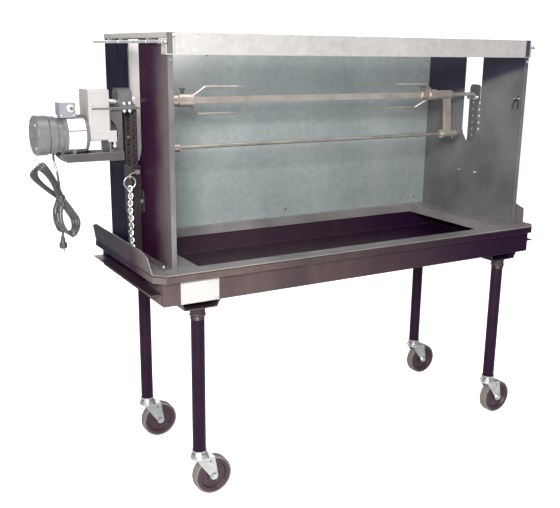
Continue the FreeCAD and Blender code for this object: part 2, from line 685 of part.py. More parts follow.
def mast_bolts():
    """Bolts through bracket and panel, head outside and nut inside."""
    solids = []
    head_x = PANEL_OUTER_X + SHEET
    nut_x = PANEL_INNER_X - BOLT_NUT
    for side in (LEFT, RIGHT):
        for y in bolt_stations():
            shank = along_x(BOLT_R, nut_x - 5.0, head_x, y, BOLT_Z)
            head = hex_along(X_AXIS, BOLT_HEX, Vector(head_x, y, BOLT_Z), BOLT_HEAD)
            nut = hex_along(X_AXIS, BOLT_HEX, Vector(nut_x, y, BOLT_Z), BOLT_NUT)
            nut = nut.cut(along_x(BOLT_R + RUNNING_GAP, nut_x, PANEL_INNER_X, y, BOLT_Z))
            solids += [on_side(side, fused([shank, head])), on_side(side, nut)]
    return Part.makeCompound(solids)


def lift_post(side):
    """Perforated channel that slides in the mast, web towards the panel and open side out."""
    x0, x1 = POST_WEB_X, POST_WEB_X + POST_DEPTH
    front, back = SPIT_Y - POST_HALF_WIDTH, SPIT_Y + POST_HALF_WIDTH
    block = box(x0, x1, front, back, POST_BOTTOM, POST_TOP)
    cuts = [box(x0 + POST_WALL, x1, front + POST_WALL, back - POST_WALL, POST_BOTTOM, POST_TOP)]
    for step in range(HOLE_COUNT):
        z = HOLE_TOP_Z - step * HOLE_PITCH
        cuts.append(along_x(HOLE_R, x0, x0 + POST_WALL, HOLE_Y, z))
        cuts.append(along_y(HOLE_R, front, back, PIN_X, z))
    return on_side(side, drilled(block, cuts))


def quick_pin(side):
    """Locking pin drawn clear of the post, with its head and pull wire, and the ring on the wire."""
    tip_y = SPIT_Y - POST_HALF_WIDTH - PIN_TIP_GAP
    head_y = SPIT_Y - MAST_HALF_WIDTH - SHEET - PIN_THROW - 0.3
    shank = along_y(PIN_R, head_y, tip_y, PIN_X, PIN_Z)
    head = along_y(PIN_R + 3.0, head_y - 5.0, head_y, PIN_X, PIN_Z)
    wire_top = Vector(PIN_X + 4.0, head_y - 2.5, PIN_Z)
    eye = Vector(RING_X, RING_Y, RING_Z + RING_R)
    wire = bent_rod([wire_top, Vector(PIN_X + 16.0, RING_Y, PIN_Z - 3.0), eye + Z_AXIS * 4.5], 1.6)
    eye_ring = Part.makeTorus(5.5, 1.6, eye, X_AXIS)
    ring = Part.makeTorus(RING_R, RING_WIRE_R, Vector(RING_X, RING_Y, RING_Z), Y_AXIS)
    return Part.makeCompound([on_side(side, fused([shank, head, wire, eye_ring])), on_side(side, ring)])


def pin_chains():
    """Chain of round links from just under each pin's ring down to a plate on the deck."""
    links = []
    pitch = 2 * (LINK_R - LINK_WIRE_R) - 0.6
    top = RING_Z - RING_R - RING_WIRE_R - 0.4 - LINK_R - LINK_WIRE_R
    anchor_z = DECK_TOP + 2.0
    count = int((top - LINK_R - anchor_z) / pitch)
    for index in range(count + 1):
        axis = Y_AXIS if index % 2 else X_AXIS
        centre = Vector(RING_X, RING_Y, top - index * pitch)
        links.append(Part.makeTorus(LINK_R, LINK_WIRE_R, centre, axis))
    anchor = box(RING_X - 14.0, RING_X + 12.0, RING_Y - 12.0, RING_Y + 12.0, DECK_TOP, anchor_z)
    links.append(anchor)
    return Part.makeCompound([mirrored_x(link) for link in links] + links)


# ---------------------------------------------------------------- left carriage and drive


def block_bolt_places():
    return [(x, y) for x in BLOCK_BOLT_X for y in BLOCK_BOLT_Y]


def motor_bracket():
    """Shelf on the left post, upright behind the gearbox's face, gussets, arm and motor saddle."""
    face_x = GEARBOX_X[1]
    plate_x = face_x + BRACKET_PLATE
    arm_low, arm_high = ARM_Z
    shelf = box(face_x, -POST_WEB_X + 1.0, SHELF_Y[0], SHELF_Y[1], POST_TOP, SHELF_TOP)
    notch = box(-POST_WEB_X - 12.0, -POST_WEB_X + 1.0, SPIT_Y - 20.0, SPIT_Y + 20.0, POST_TOP, SHELF_TOP)
    strap = box(GEARBOX_X[0] + 8.0, plate_x, GEARBOX_Y[0] - 4.0, GEARBOX_Y[0] - 1.0,
                SHELF_TOP - 4.5, SHELF_TOP)
    upright = box(face_x, plate_x, GEARBOX_Y[0] + 6.0, GEARBOX_Y[1] + 2.0, arm_low, POST_TOP)
    solids = [shelf.cut(notch), strap, upright]
    for y in GUSSET_Y:
        plate = box(plate_x, GUSSET_X, y, y + SHEET, arm_low, POST_TOP)
        solids.append(plate.cut(along_y(60.0, y, y + SHEET, plate_x - 34.0, arm_low + 76.0)))
    outline = [(ARM_TIP_X, arm_high), (ARM_TIP_X, arm_high - 4.0), (ARM_TIP_X + 20.0, arm_low),
               (GUSSET_X, arm_low), (GUSSET_X, arm_high)]
    for y in (SPIT_Y - ARM_HALF_WIDTH, SPIT_Y + ARM_HALF_WIDTH - SHEET):
        solids.append(prism([Vector(x, y, z) for x, z in outline], Y_AXIS * SHEET))
    solids.append(box(ARM_TIP_X + 20.0, GUSSET_X, SPIT_Y - ARM_HALF_WIDTH, SPIT_Y + ARM_HALF_WIDTH,
                      arm_low, arm_low + SHEET))
    saddle = box(-905.0, -897.0, SPIT_Y - 37.0, SPIT_Y + 37.0, arm_low, MOTOR_Z - 40.0)
    solids.append(saddle.cut(along_x(MOTOR_R, -905.0, -897.0, SPIT_Y, MOTOR_Z)))
    holes = [along_z(BOLT_R + BOLT_GAP, POST_TOP, SHELF_TOP, x, y) for x, y in block_bolt_places()]
    return drilled(fused(solids), holes)


def bearing_block():
    """Pillow block on the shelf, with rounded shoulders and the output shaft's bore."""
    foot = box(BLOCK_X[0] - 3.0, BLOCK_X[1] + 3.0, BLOCK_BOLT_Y[0] - 9.0, BLOCK_BOLT_Y[1] + 9.0,
               SHELF_TOP, SHELF_TOP + BLOCK_FOOT)
    body = box(BLOCK_X[0], BLOCK_X[1], SPIT_Y - BLOCK_HALF_WIDTH, SPIT_Y + BLOCK_HALF_WIDTH,
               SHELF_TOP, BLOCK_TOP)
    shoulders = [edge for edge in body.Edges
                 if edge.CenterOfMass.z > BLOCK_TOP - 1.0 and abs(edge.CenterOfMass.y - SPIT_Y) > 1.0]
    body = body.makeFillet(26.0, shoulders)
    holes = [along_x(SHAFT_R + RUNNING_GAP, BLOCK_X[0] - 3.0, BLOCK_X[1] + 3.0, SPIT_Y, SPIT_Z)]
    for x, y in block_bolt_places():
        holes.append(along_z(BOLT_R + BOLT_GAP, SHELF_TOP, SHELF_TOP + BLOCK_FOOT, x, y))
    return drilled(fused([foot, body]), holes)


def block_bolts():
    """Four bolts of the pillow block, heads above and nuts under the shelf."""
    solids = []
    foot_top = SHELF_TOP + BLOCK_FOOT
    for x, y in block_bolt_places():
        shank = along_z(BOLT_R, POST_TOP - BOLT_NUT - 3.0, foot_top, x, y)
        head = hex_along(Z_AXIS, BOLT_HEX, Vector(x, y, foot_top), 7.0)
        nut = hex_along(Z_AXIS, BOLT_HEX, Vector(x, y, POST_TOP - BOLT_NUT), BOLT_NUT)
        nut = nut.cut(along_z(BOLT_R + RUNNING_GAP, POST_TOP - BOLT_NUT, POST_TOP, x, y))
        solids += [fused([shank, head]), nut]
    return Part.makeCompound(solids)


def gearbox_case():
    """Hollow case with rounded corners, a seam rib, bearing pockets, and a lug with a ball stud."""
    x0, x1 = GEARBOX_X
    wall = CASE_WALL
    case = box(x0, x1, GEARBOX_Y[0], GEARBOX_Y[1], GEARBOX_Z[0], GEARBOX_Z[1])
    case = case.makeFillet(7.0, [e for e in case.Edges if abs(e.CenterOfMass.x - (x0 + x1) / 2) < 1.0])
    cavity = box(x0 + wall, x1 - wall, GEARBOX_Y[0] + wall, GEARBOX_Y[1] - wall,
                 GEARBOX_Z[0] + wall, GEARBOX_Z[1] - wall)
    idler_boss = along_x(IDLER_AXLE_R + 4.0, x1 - wall - 3.0, x1 - wall, SPIT_Y, IDLER_Z)
    seam = box(x0 + 6.0, x1 - 6.0, GEARBOX_Y[0] - 1.0, GEARBOX_Y[0] + 1.0, POST_TOP - 12.0, POST_TOP - 4.0)
    lug = box(x1 - 8.0, x1 + 19.0, GEARBOX_Y[0] - 5.0, GEARBOX_Y[0], GEARBOX_Z[0] - 4.0, GEARBOX_Z[0] + 30.0)
    stud_x = x1 + 12.0
    stud = along_z(4.0, GEARBOX_Z[0] - 16.0, GEARBOX_Z[0], stud_x, GEARBOX_Y[0] - 4.0)
    ball = Part.makeSphere(6.5, Vector(stud_x, GEARBOX_Y[0] - 4.0, GEARBOX_Z[0] - 16.0))
    case = fused([case.cut(cavity), idler_boss, seam, lug, stud, ball])
    holes = [along_x(SHAFT_R + RUNNING_GAP, x1 - wall, x1, SPIT_Y, SPIT_Z),
             along_x(MOTOR_SHAFT_R + RUNNING_GAP, x0, x0 + wall, SPIT_Y, MOTOR_Z),
             along_x(IDLER_AXLE_R + RUNNING_GAP, x0 + 1.0, x1 - 1.0, SPIT_Y, IDLER_Z)]
    return drilled(case, holes)


def motor_section(x0, x1, radius, edge):
    """Round motor section along X with its two rims chamfered."""
    solid = along_x(radius, x0, x1, SPIT_Y, MOTOR_Z)
    rims = [e for e in solid.Edges if e.Closed]
    return solid.makeChamfer(edge, rims)


def motor_cavity(x0, x1, radius):
    return along_x(radius, x0, x1, SPIT_Y, MOTOR_Z)


def motor_housing():
    """Barrel with a front bell against the gearbox, end bell with vents, and the stator ring."""
    inner = MOTOR_R - 2 * MOTOR_WALL
    barrel = along_x(MOTOR_R, WAIST_END_X, FRONT_BELL_X, SPIT_Y, MOTOR_Z)
    front_bell = motor_section(FRONT_BELL_X - 1.0, BARREL_END_X, MOTOR_R - 2.0, 3.0)
    barrel = drilled(fused([barrel, front_bell]), [
        motor_cavity(WAIST_END_X, BARREL_END_X - MOTOR_WALL, inner),
        motor_cavity(BARREL_END_X - MOTOR_WALL, BARREL_END_X, MOTOR_SHAFT_R + RUNNING_GAP)])
    bell = motor_section(MOTOR_BACK_X, BELL_END_X, MOTOR_R + 1.0, 5.0)
    band = motor_section(BELL_END_X - 1.0, BAND_END_X, MOTOR_R - 2.0, 2.0)
    waist = along_x(MOTOR_R - 7.0, BAND_END_X - 1.0, WAIST_END_X, SPIT_Y, MOTOR_Z)
    cuts = [motor_cavity(MOTOR_BACK_X + MOTOR_WALL, WAIST_END_X, MOTOR_R - 3 * MOTOR_WALL),
            motor_cavity(MOTOR_BACK_X, MOTOR_BACK_X + MOTOR_WALL, MOTOR_SHAFT_R + RUNNING_GAP)]
    for step in range(10):
        angle = math.radians(36.0 * step)
        y = SPIT_Y + 34.0 * math.cos(angle)
        z = MOTOR_Z + 34.0 * math.sin(angle)
        cuts.append(along_x(4.0, MOTOR_BACK_X, MOTOR_BACK_X + MOTOR_WALL, y, z))
    end_bell = drilled(fused([bell, band, waist]), cuts)
    stator = along_x(inner, STATOR_X[0], STATOR_X[1], SPIT_Y, MOTOR_Z)
    stator = stator.cut(along_x(STATOR_BORE_R, STATOR_X[0], STATOR_X[1], SPIT_Y, MOTOR_Z))
    return Part.makeCompound([barrel, end_bell, stator])


def motor_rotor():
    """Motor shaft with the rotor on it, ending in the pinion of the first gear stage."""
    shaft = along_x(MOTOR_SHAFT_R, MOTOR_BACK_X + 0.5, FIRST_STAGE_X[1], SPIT_Y, MOTOR_Z)
    core = along_x(ROTOR_R, STATOR_X[0], STATOR_X[1], SPIT_Y, MOTOR_Z)
    pinion = along_x(PINION_R, FIRST_STAGE_X[0], FIRST_STAGE_X[1], SPIT_Y, MOTOR_Z)
    return fused([shaft, core, pinion])


def idler_gear():
    """Middle axle of the gearbox, with its large wheel and its small pinion."""
    axle = along_x(IDLER_AXLE_R, GEARBOX_X[0] + 1.2, GEARBOX_X[1] - 1.2, SPIT_Y, IDLER_Z)
    wheel = along_x(IDLER_WHEEL_R, FIRST_STAGE_X[0], FIRST_STAGE_X[1], SPIT_Y, IDLER_Z)
    pinion = along_x(IDLER_PINION_R, FIRST_STAGE_X[1], SECOND_STAGE_X[1], SPIT_Y, IDLER_Z)
    return fused([axle, wheel, pinion])


def output_gear():
    """Last wheel of the gearbox, keyed on the output shaft."""
    wheel = along_x(OUTPUT_GEAR_R, SECOND_STAGE_X[0], SECOND_STAGE_X[1], SPIT_Y, SPIT_Z)
    hub = along_x(SHAFT_R + 5.0, SECOND_STAGE_X[1], SECOND_STAGE_X[1] + 6.0, SPIT_Y, SPIT_Z)
    bore = along_x(SHAFT_R, SECOND_STAGE_X[0], SECOND_STAGE_X[1] + 6.0, SPIT_Y, SPIT_Z)
    return drilled(fused([wheel, hub]), [bore])


def junction_box():
    """Box on the front shoulder of the motor, with a round bush for the switch."""
    case = box(JUNCTION_X[0], JUNCTION_X[1], JUNCTION_Y[0], JUNCTION_Y[1], JUNCTION_BOTTOM, JUNCTION_TOP)
    case = case.makeFillet(3.0, [e for e in case.Edges if e.CenterOfMass.z > JUNCTION_TOP - 1.0])
    case = case.cut(along_x(MOTOR_R, JUNCTION_X[0], JUNCTION_X[1], SPIT_Y, MOTOR_Z))
    bush = along_y(11.0, JUNCTION_Y[0] - 3.0, JUNCTION_Y[0], SWITCH_X, SWITCH_Z)
    bore = along_y(SWITCH_BORE_R, JUNCTION_Y[0] - 3.0, JUNCTION_Y[0] + 9.0, SWITCH_X, SWITCH_Z)
    return drilled(fused([case, bush]), [bore])


def toggle_switch():
    """Switch lever, thicker at its tip, with a ball and a pivot pin at its root in the bush."""
    root = Vector(SWITCH_X, JUNCTION_Y[0] + 1.0, SWITCH_Z)
    ball = Part.makeSphere(SWITCH_BORE_R - 0.8, root)
    lever = Part.makeCone(1.6, 2.8, 16.0, root, -Y_AXIS)
    pivot = along_x(1.2, SWITCH_X - 4.2, SWITCH_X + 4.2, root.y, SWITCH_Z)
    return fused([ball, lever, pivot])


def bent_rod(points, radius):
    """Round bar through a list of points, with a ball at each bend."""
    solids = []
    for start, end in zip(points[:-1], points[1:]):
        solids.append(rod_between(start, end, radius))
    for corner in points[1:-1]:
        solids.append(Part.makeSphere(radius, corner))
    return fused(solids)


def power_cord():
    """Cord from under the motor to a tied hank hanging below it, ending in a moulded plug."""
    cord_r = 4.0
    y = SPIT_Y - 18.0
    tie = Vector(-945.0, y, 946.0)
    exit_top = Vector(-955.0, SPIT_Y, MOTOR_Z - MOTOR_R + 2.0)
    lead = [exit_top, Vector(-955.0, SPIT_Y, 1058.0), Vector(-950.0, y, 1020.0), tie]
    upper = [tie, Vector(-995.0, y, 990.0), Vector(-1024.0, y, 1018.0), Vector(-1014.0, y, 1044.0),
             Vector(-988.0, y, 1040.0), tie + Vector(6.0, 0.0, 6.0)]
    lower = [tie, Vector(-966.0, y, 900.0), Vector(-944.0, y, 840.0), Vector(-914.0, y, 834.0),
             Vector(-902.0, y, 868.0), Vector(-918.0, y, 905.0), tie + Vector(4.0, 0.0, -6.0)]
    plug_top = Vector(-946.0, y, 832.0)
    solids = [bent_rod(lead, cord_r), bent_rod(upper, cord_r), bent_rod(lower, cord_r)]
    solids.append(bent_rod([Vector(-944.0, y, 840.0), plug_top], cord_r))
    solids.append(Part.makeSphere(10.0, tie))
    solids.append(Part.makeCone(7.0, 11.0, 34.0, plug_top, -Z_AXIS))
    for x in (-951.0, -941.0):
        solids.append(box(x - 1.0, x + 1.0, y - 3.0, y + 3.0, plug_top.z - 54.0, plug_top.z - 30.0))
    return fused(solids)


# ---------------------------------------------------------------- spit


def square_bar(x0, x1, half):
    return box(x0, x1, SPIT_Y - half, SPIT_Y + half, SPIT_Z - half, SPIT_Z + half)


def output_shaft():
    """Gearbox output shaft, ending in the coupling disc whose square socket takes the spit."""
    shaft = along_x(SHAFT_R, SECOND_STAGE_X[0], COUPLING_X[0], SPIT_Y, SPIT_Z)
    disc = along_x(COUPLING_R, COUPLING_X[0], COUPLING_X[1], SPIT_Y, SPIT_Z)
    socket = square_bar(COUPLING_X[1] - 5.0, COUPLING_X[1], BAR_HALF)
    return drilled(fused([shaft, disc]), [socket])


def spit_bar():
    """Square bar, tapering to a round journal that runs on the rollers."""
    square = square_bar(COUPLING_X[1] - 5.0, TAPER_X[0], BAR_HALF)
    corner_r = BAR_HALF * math.sqrt(2.0)
    taper = Part.makeCone(corner_r, JOURNAL_R, TAPER_X[1] - TAPER_X[0],
                          Vector(TAPER_X[0], SPIT_Y, SPIT_Z), X_AXIS)
    taper = taper.common(square_bar(TAPER_X[0], TAPER_X[1], BAR_HALF))
    journal = along_x(JOURNAL_R, TAPER_X[1], SPIT_END_X, SPIT_Y, SPIT_Z)
    return fused([square, taper, journal])


def prong(x_root, x_bend, x_tip, degrees, reach):
    """One tine: out of the hub, bent parallel to the spit, ending in a point."""
    out = FreeCAD.Rotation(X_AXIS, -degrees).multVec(Z_AXIS)
    axis_at = Vector(0, SPIT_Y, SPIT_Z)
    way = math.copysign(1.0, x_tip - x_bend)
    point_start = axis_at + X_AXIS * (x_tip - way * POINT_LENGTH) + out * reach
    root = axis_at + X_AXIS * x_root + out * 14.0
    bend = axis_at + X_AXIS * x_bend + out * reach
    point = Part.makeCone(PRONG_R, 0.8, POINT_LENGTH, point_start, X_AXIS * way)
    return bent_rod([root, bend, point_start], PRONG_R).fuse([Part.makeSphere(PRONG_R, root), point])


def spit_fork(sleeve, ring, prong_x, screw_x):
    """Sleeve on the square bar with a ring, two opposite prongs and a tapped hole on top."""
    solids = [along_x(sleeve[2], sleeve[0], sleeve[1], SPIT_Y, SPIT_Z),
              along_x(ring[2], ring[0], ring[1], SPIT_Y, SPIT_Z)]
    for half_turn, reach in ((0.0, FORK_REACH[0]), (180.0, FORK_REACH[1])):
        solids.append(prong(prong_x[0], prong_x[1], prong_x[2], FORK_TILT + half_turn, reach))
    bar_hole = square_bar(sleeve[0] - 8.0, max(sleeve[1], ring[1]) + 8.0, BAR_HALF + RUNNING_GAP)
    tapped = along_z(CLAMP_R + RUNNING_GAP, SPIT_Z, SPIT_Z + ring[2] + 5.0, screw_x, SPIT_Y)
    return drilled(fused(solids), [bar_hole, tapped])


def fork_screw(screw_x, sleeve_r):
    """Screw that clamps a fork to the bar, turned by the cross bar at its top."""
    top = SPIT_Z + sleeve_r + 13.0
    shank = along_z(CLAMP_R, SPIT_Z + BAR_HALF + 0.1, top, screw_x, SPIT_Y)
    collar = along_z(CLAMP_R + 2.5, SPIT_Z + sleeve_r + 0.5, SPIT_Z + sleeve_r + 5.0, screw_x, SPIT_Y)
    handle = along_x(2.8, screw_x - 9.0, screw_x + 9.0, SPIT_Y, top)
    return fused([shank, collar, handle])


def leaned(solid):
    """The solid turned about the spit, as the arms hang a little to the front."""
    return turned(solid, Vector(0, SPIT_Y, SPIT_Z), X_AXIS, ARM_LEAN)


def spit_arms():
    """Two hubs on the spit, each with a flat arm hanging to the foot that holds the brace rod."""
    brace_z = SPIT_Z - BRACE_DROP
    left_hub = along_x(18.5, -600.0, -558.0, SPIT_Y, SPIT_Z)
    left_arm = box(-612.0, -577.0, SPIT_Y - 5.0, SPIT_Y + 5.0, brace_z, SPIT_Z)
    left_foot = along_x(FOOT_R, -612.0, -561.0, SPIT_Y, brace_z)
    right_hub = along_x(16.5, 500.0, 577.0, SPIT_Y, SPIT_Z)
    right_cone = Part.makeCone(16.5, 9.0, 20.0, Vector(577.0, SPIT_Y, SPIT_Z), X_AXIS)
    right_arm = box(544.0, 576.0, SPIT_Y - 5.0, SPIT_Y + 5.0, brace_z, SPIT_Z)
    right_foot = along_x(FOOT_R, 534.0, 600.0, SPIT_Y, brace_z)
    right_ring = along_x(FOOT_R + 3.0, 530.0, 537.0, SPIT_Y, brace_z)
    rod_hole = along_x(BRACE_R + RUNNING_GAP, -640.0, 640.0, SPIT_Y, brace_z)
    left_bar = square_bar(-620.0, -558.0, BAR_HALF + RUNNING_GAP)
    right_bar = square_bar(500.0, TAPER_X[0], BAR_HALF + RUNNING_GAP)
    taper_r = BAR_HALF * math.sqrt(2.0) + RUNNING_GAP
    taper = Part.makeCone(taper_r, JOURNAL_R + RUNNING_GAP, TAPER_X[1] - TAPER_X[0],
                          Vector(TAPER_X[0], SPIT_Y, SPIT_Z), X_AXIS)
    arms = []
    for solids, screw_x, bores in (([left_hub, left_arm, left_foot], ARM_SCREW_X[0], [left_bar]),
                                   ([right_hub, right_cone, right_arm, right_foot, right_ring],
                                    ARM_SCREW_X[1], [right_bar, taper])):
        clamp = along_z(CLAMP_R + RUNNING_GAP, brace_z, brace_z - 30.0, screw_x, SPIT_Y)
        arms.append(drilled(leaned(drilled(fused(solids), [rod_hole, clamp])), bores))
    return Part.makeCompound(arms)


def arm_screws():
    """Clamp screws under the two feet, each with a wing-shaped grip."""
    screws = []
    brace_z = SPIT_Z - BRACE_DROP
    for x in ARM_SCREW_X:
        shank = along_z(CLAMP_R, brace_z - FOOT_R - 9.0, brace_z - BRACE_R - 0.1, x, SPIT_Y)
        grip = box(x - 9.0, x + 9.0, SPIT_Y - 2.0, SPIT_Y + 2.0,
                   brace_z - FOOT_R - 16.0, brace_z - FOOT_R - 4.0)
        grip = grip.makeFillet(4.0, [e for e in grip.Edges if abs(e.CenterOfMass.y - SPIT_Y) < 0.1])
        screws.append(leaned(fused([shank, grip])))
    return Part.makeCompound(screws)


def brace_rod():
    """Thin rod parallel to the spit, through the feet of both arms."""
    return leaned(along_x(BRACE_R, -620.0, 626.0, SPIT_Y, SPIT_Z - BRACE_DROP))


# ---------------------------------------------------------------- right carriage


def roller_centres():
    """Axes of the two rollers that cradle the journal of the spit."""
    reach = JOURNAL_R + ROLLER_R + RUNNING_GAP
    drop = math.sqrt(reach ** 2 - ROLLER_SPREAD ** 2)
    return [(SPIT_Y - ROLLER_SPREAD, SPIT_Z - drop), (SPIT_Y + ROLLER_SPREAD, SPIT_Z - drop)]


def keeper_plate():
    """Round-topped plate on the right post, with the two headed pins of the rollers."""
    x0, x1 = KEEPER_X, KEEPER_X + SHEET
    plate = box(x0, x1, SPIT_Y - KEEPER_HALF_WIDTH, SPIT_Y + KEEPER_HALF_WIDTH, POST_TOP, KEEPER_TOP)
    corners = [e for e in plate.Edges if e.CenterOfMass.z > KEEPER_TOP - 0.1 and e.Length < 2 * SHEET]
    plate = plate.makeFillet(15.0, corners)
    tongue = box(x0, x1, SPIT_Y - TONGUE_HALF_WIDTH, SPIT_Y + TONGUE_HALF_WIDTH,
                 POST_TOP - TONGUE_DROP, POST_TOP)
    plate = fused([plate, tongue])
    for z in (HOLE_TOP_Z, HOLE_TOP_Z - HOLE_PITCH):
        plate = plate.cut(along_x(HOLE_R, x0, x1, HOLE_Y, z))
    head_x = ROLLER_X[0] - 1.0
    pins = []
    for y, z in roller_centres():
        pin = along_x(ROLLER_PIN_R, head_x, x1 + 4.0, y, z)
        plate = plate.cut(pin)
        pins.append(fused([pin, along_x(ROLLER_PIN_R + 2.5, head_x - 3.0, head_x, y, z)]))
    return Part.makeCompound([plate] + pins)


def spit_roller(index):
    """Plain roller on its pin, inside the panel's slot."""
    y, z = roller_centres()[index]
    roller = along_x(ROLLER_R, ROLLER_X[0], ROLLER_X[1], y, z)
    return roller.cut(along_x(ROLLER_PIN_R + RUNNING_GAP, ROLLER_X[0], ROLLER_X[1], y, z))


def left_fork():
    return spit_fork((-558.0, -508.0, 22.0), (-514.0, -508.0, 22.8), (-512.0, -476.0, -334.0), -541.0)


def right_fork():
    return spit_fork((430.0, 500.0, 16.5), (466.0, 500.0, 20.5), (480.0, 431.0, 284.0), 441.0)


def fixed_nodes():
    """Everything that stays put on the trough, apart from the casters."""
    return {
        "fire_trough": fire_trough(),
        "deck_frame": deck_frame(),
        "end_ledges": end_ledges(),
        "front_plate": front_plate(),
        "leg_channels": leg_channels(),
        "leg_sockets": leg_sockets(),
        "leg_pipes": leg_pipes(),
        "caster_stems": caster_stems(),
        "side_panel_left": side_panel(LEFT),
        "side_panel_right": side_panel(RIGHT),
        "back_panel": back_panel(),
        "front_top_bar": front_top_bar(),
        "panel_screws": panel_screws(),
        "rod_lugs": rod_lugs(),
        "lift_masts": lift_masts(),
        "mast_brackets": mast_brackets(),
        "mast_bolts": mast_bolts(),
        "pin_chains": pin_chains(),
        "tool_hook": tool_hook(),
    }


def moving_nodes():
    """The latch rods, pins, lifting carriages, drive and spit."""
    return {
        "latch_rod_left": latch_rod(LEFT),
        "latch_rod_right": latch_rod(RIGHT),
        "quick_pin_left": quick_pin(LEFT),
        "quick_pin_right": quick_pin(RIGHT),
        "lift_post_left": lift_post(LEFT),
        "motor_bracket": motor_bracket(),
        "bearing_block": bearing_block(),
        "block_bolts": block_bolts(),
        "gearbox_case": gearbox_case(),
        "motor_housing": motor_housing(),
        "motor_rotor": motor_rotor(),
        "idler_gear": idler_gear(),
        "output_gear": output_gear(),
        "junction_box": junction_box(),
        "toggle_switch": toggle_switch(),
        "power_cord": power_cord(),
        "output_shaft": output_shaft(),
        "spit_bar": spit_bar(),
        "spit_fork_left": left_fork(),
        "spit_fork_right": right_fork(),
        "fork_screw_left": fork_screw(-541.0, 22.0),
        "fork_screw_right": fork_screw(441.0, 16.5),
        "spit_arms": spit_arms(),
        "arm_screws": arm_screws(),
        "brace_rod": brace_rod(),
        "lift_post_right": lift_post(RIGHT),
        "keeper_plate": keeper_plate(),
        "spit_roller_front": spit_roller(0),
        "spit_roller_back": spit_roller(1),
    }


def caster_nodes():
    """Swivel fork, wheel core and tread of each of the four casters."""
    casters = {}
    for place, (leg_x, leg_y) in leg_places().items():
        casters["caster_fork_" + place] = caster_fork(leg_x, leg_y)
        casters["caster_wheel_" + place] = caster_wheel(leg_x, leg_y)
        casters["caster_tread_" + place] = caster_tread(leg_x, leg_y)
    return casters


nodes = {**fixed_nodes(), **moving_nodes(), **caster_nodes()}
os.makedirs("parts", exist_ok=True)
for name, shape in nodes.items():
    shape.translate(FRAME_SHIFT)
    shape.exportStep("parts/" + name + ".step")
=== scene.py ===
"""Looks of the rotisserie spit roaster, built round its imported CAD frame. Lengths are in metres."""

import json
import math
import random

import bmesh
import bpy
from mathutils import Matrix, Vector


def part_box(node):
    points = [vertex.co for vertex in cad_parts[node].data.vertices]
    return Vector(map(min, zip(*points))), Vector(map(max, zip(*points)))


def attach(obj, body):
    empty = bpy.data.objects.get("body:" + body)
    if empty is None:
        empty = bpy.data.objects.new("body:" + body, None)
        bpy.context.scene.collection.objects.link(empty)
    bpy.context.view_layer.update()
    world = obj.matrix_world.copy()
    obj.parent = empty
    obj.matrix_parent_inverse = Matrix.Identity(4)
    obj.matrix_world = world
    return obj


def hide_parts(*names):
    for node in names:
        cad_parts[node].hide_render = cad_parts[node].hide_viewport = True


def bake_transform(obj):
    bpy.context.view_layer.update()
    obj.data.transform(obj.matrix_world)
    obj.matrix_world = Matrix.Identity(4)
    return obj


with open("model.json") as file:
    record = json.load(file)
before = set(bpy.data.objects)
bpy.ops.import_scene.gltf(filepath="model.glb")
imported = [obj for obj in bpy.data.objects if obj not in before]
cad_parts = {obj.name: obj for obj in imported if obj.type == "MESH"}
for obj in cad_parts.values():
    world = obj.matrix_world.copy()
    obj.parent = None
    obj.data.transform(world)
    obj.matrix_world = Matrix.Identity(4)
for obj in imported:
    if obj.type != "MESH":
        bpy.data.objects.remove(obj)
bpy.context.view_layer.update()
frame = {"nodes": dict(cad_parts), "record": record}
NODES = frame["nodes"]
MM = 0.001
X_AXIS = Vector((1, 0, 0))
Y_AXIS = Vector((0, 1, 0))
Z_AXIS = Vector((0, 0, 1))
random.seed(7)

# ------------------------------------------------------------------ camera, light and floor sizes

WHITE = (1.0, 1.0, 1.0)
SENSOR_MM = 36.0
LENS_MM = 51.05
CAMERA_PLACE = (-1.4404, -2.3777, 1.3860)
CAMERA_YAW = math.radians(30.457)      # turned from +Y towards +X
CAMERA_PITCH = math.radians(14.431)    # looking down
CAMERA_ROLL = math.radians(0.752)
WORLD_FELT = 0.17                      # strength of the surround as the object feels it
WORLD_TINT = (0.97, 0.98, 1.0, 1.0)
LIGHTS = (  # name, place, target, size, watts, colour
    ("flash", (-1.75, -2.75, 2.0), (0.1, 0.0, 1.0), (0.7, 0.7), 230.0, (1.0, 0.985, 0.96)),
    ("left", (-3.6, -1.2, 1.8), (-0.9, -0.1, 1.15), (1.0, 1.2), 34.0, WHITE),
    ("top", (0.2, -0.6, 3.6), (0.0, 0.1, 0.8), (2.4, 1.6), 50.0, WHITE),
    ("fill", (3.2, -2.2, 1.5), (0.2, 0.0, 0.7), (1.4, 1.4), 14.0, (0.95, 0.97, 1.0)),
    ("back", (0.6, 3.4, 2.6), (0.0, 0.3, 0.9), (2.2, 1.6), 40.0, WHITE),
)
FLOOR_HALF_WIDTH = 9.0
FLOOR_FRONT = -6.0
FLOOR_BACK = 3.0
SWEEP_RADIUS = 2.0
SWEEP_STEPS = 12
SWEEP_TOP = 6.0
FLOOR_GAP = 0.0006                     # the paper lies this far below the wheels
PAPER_GLOW = 0.88                      # seen by the camera only

# ------------------------------------------------------------------ sizes of the added pieces

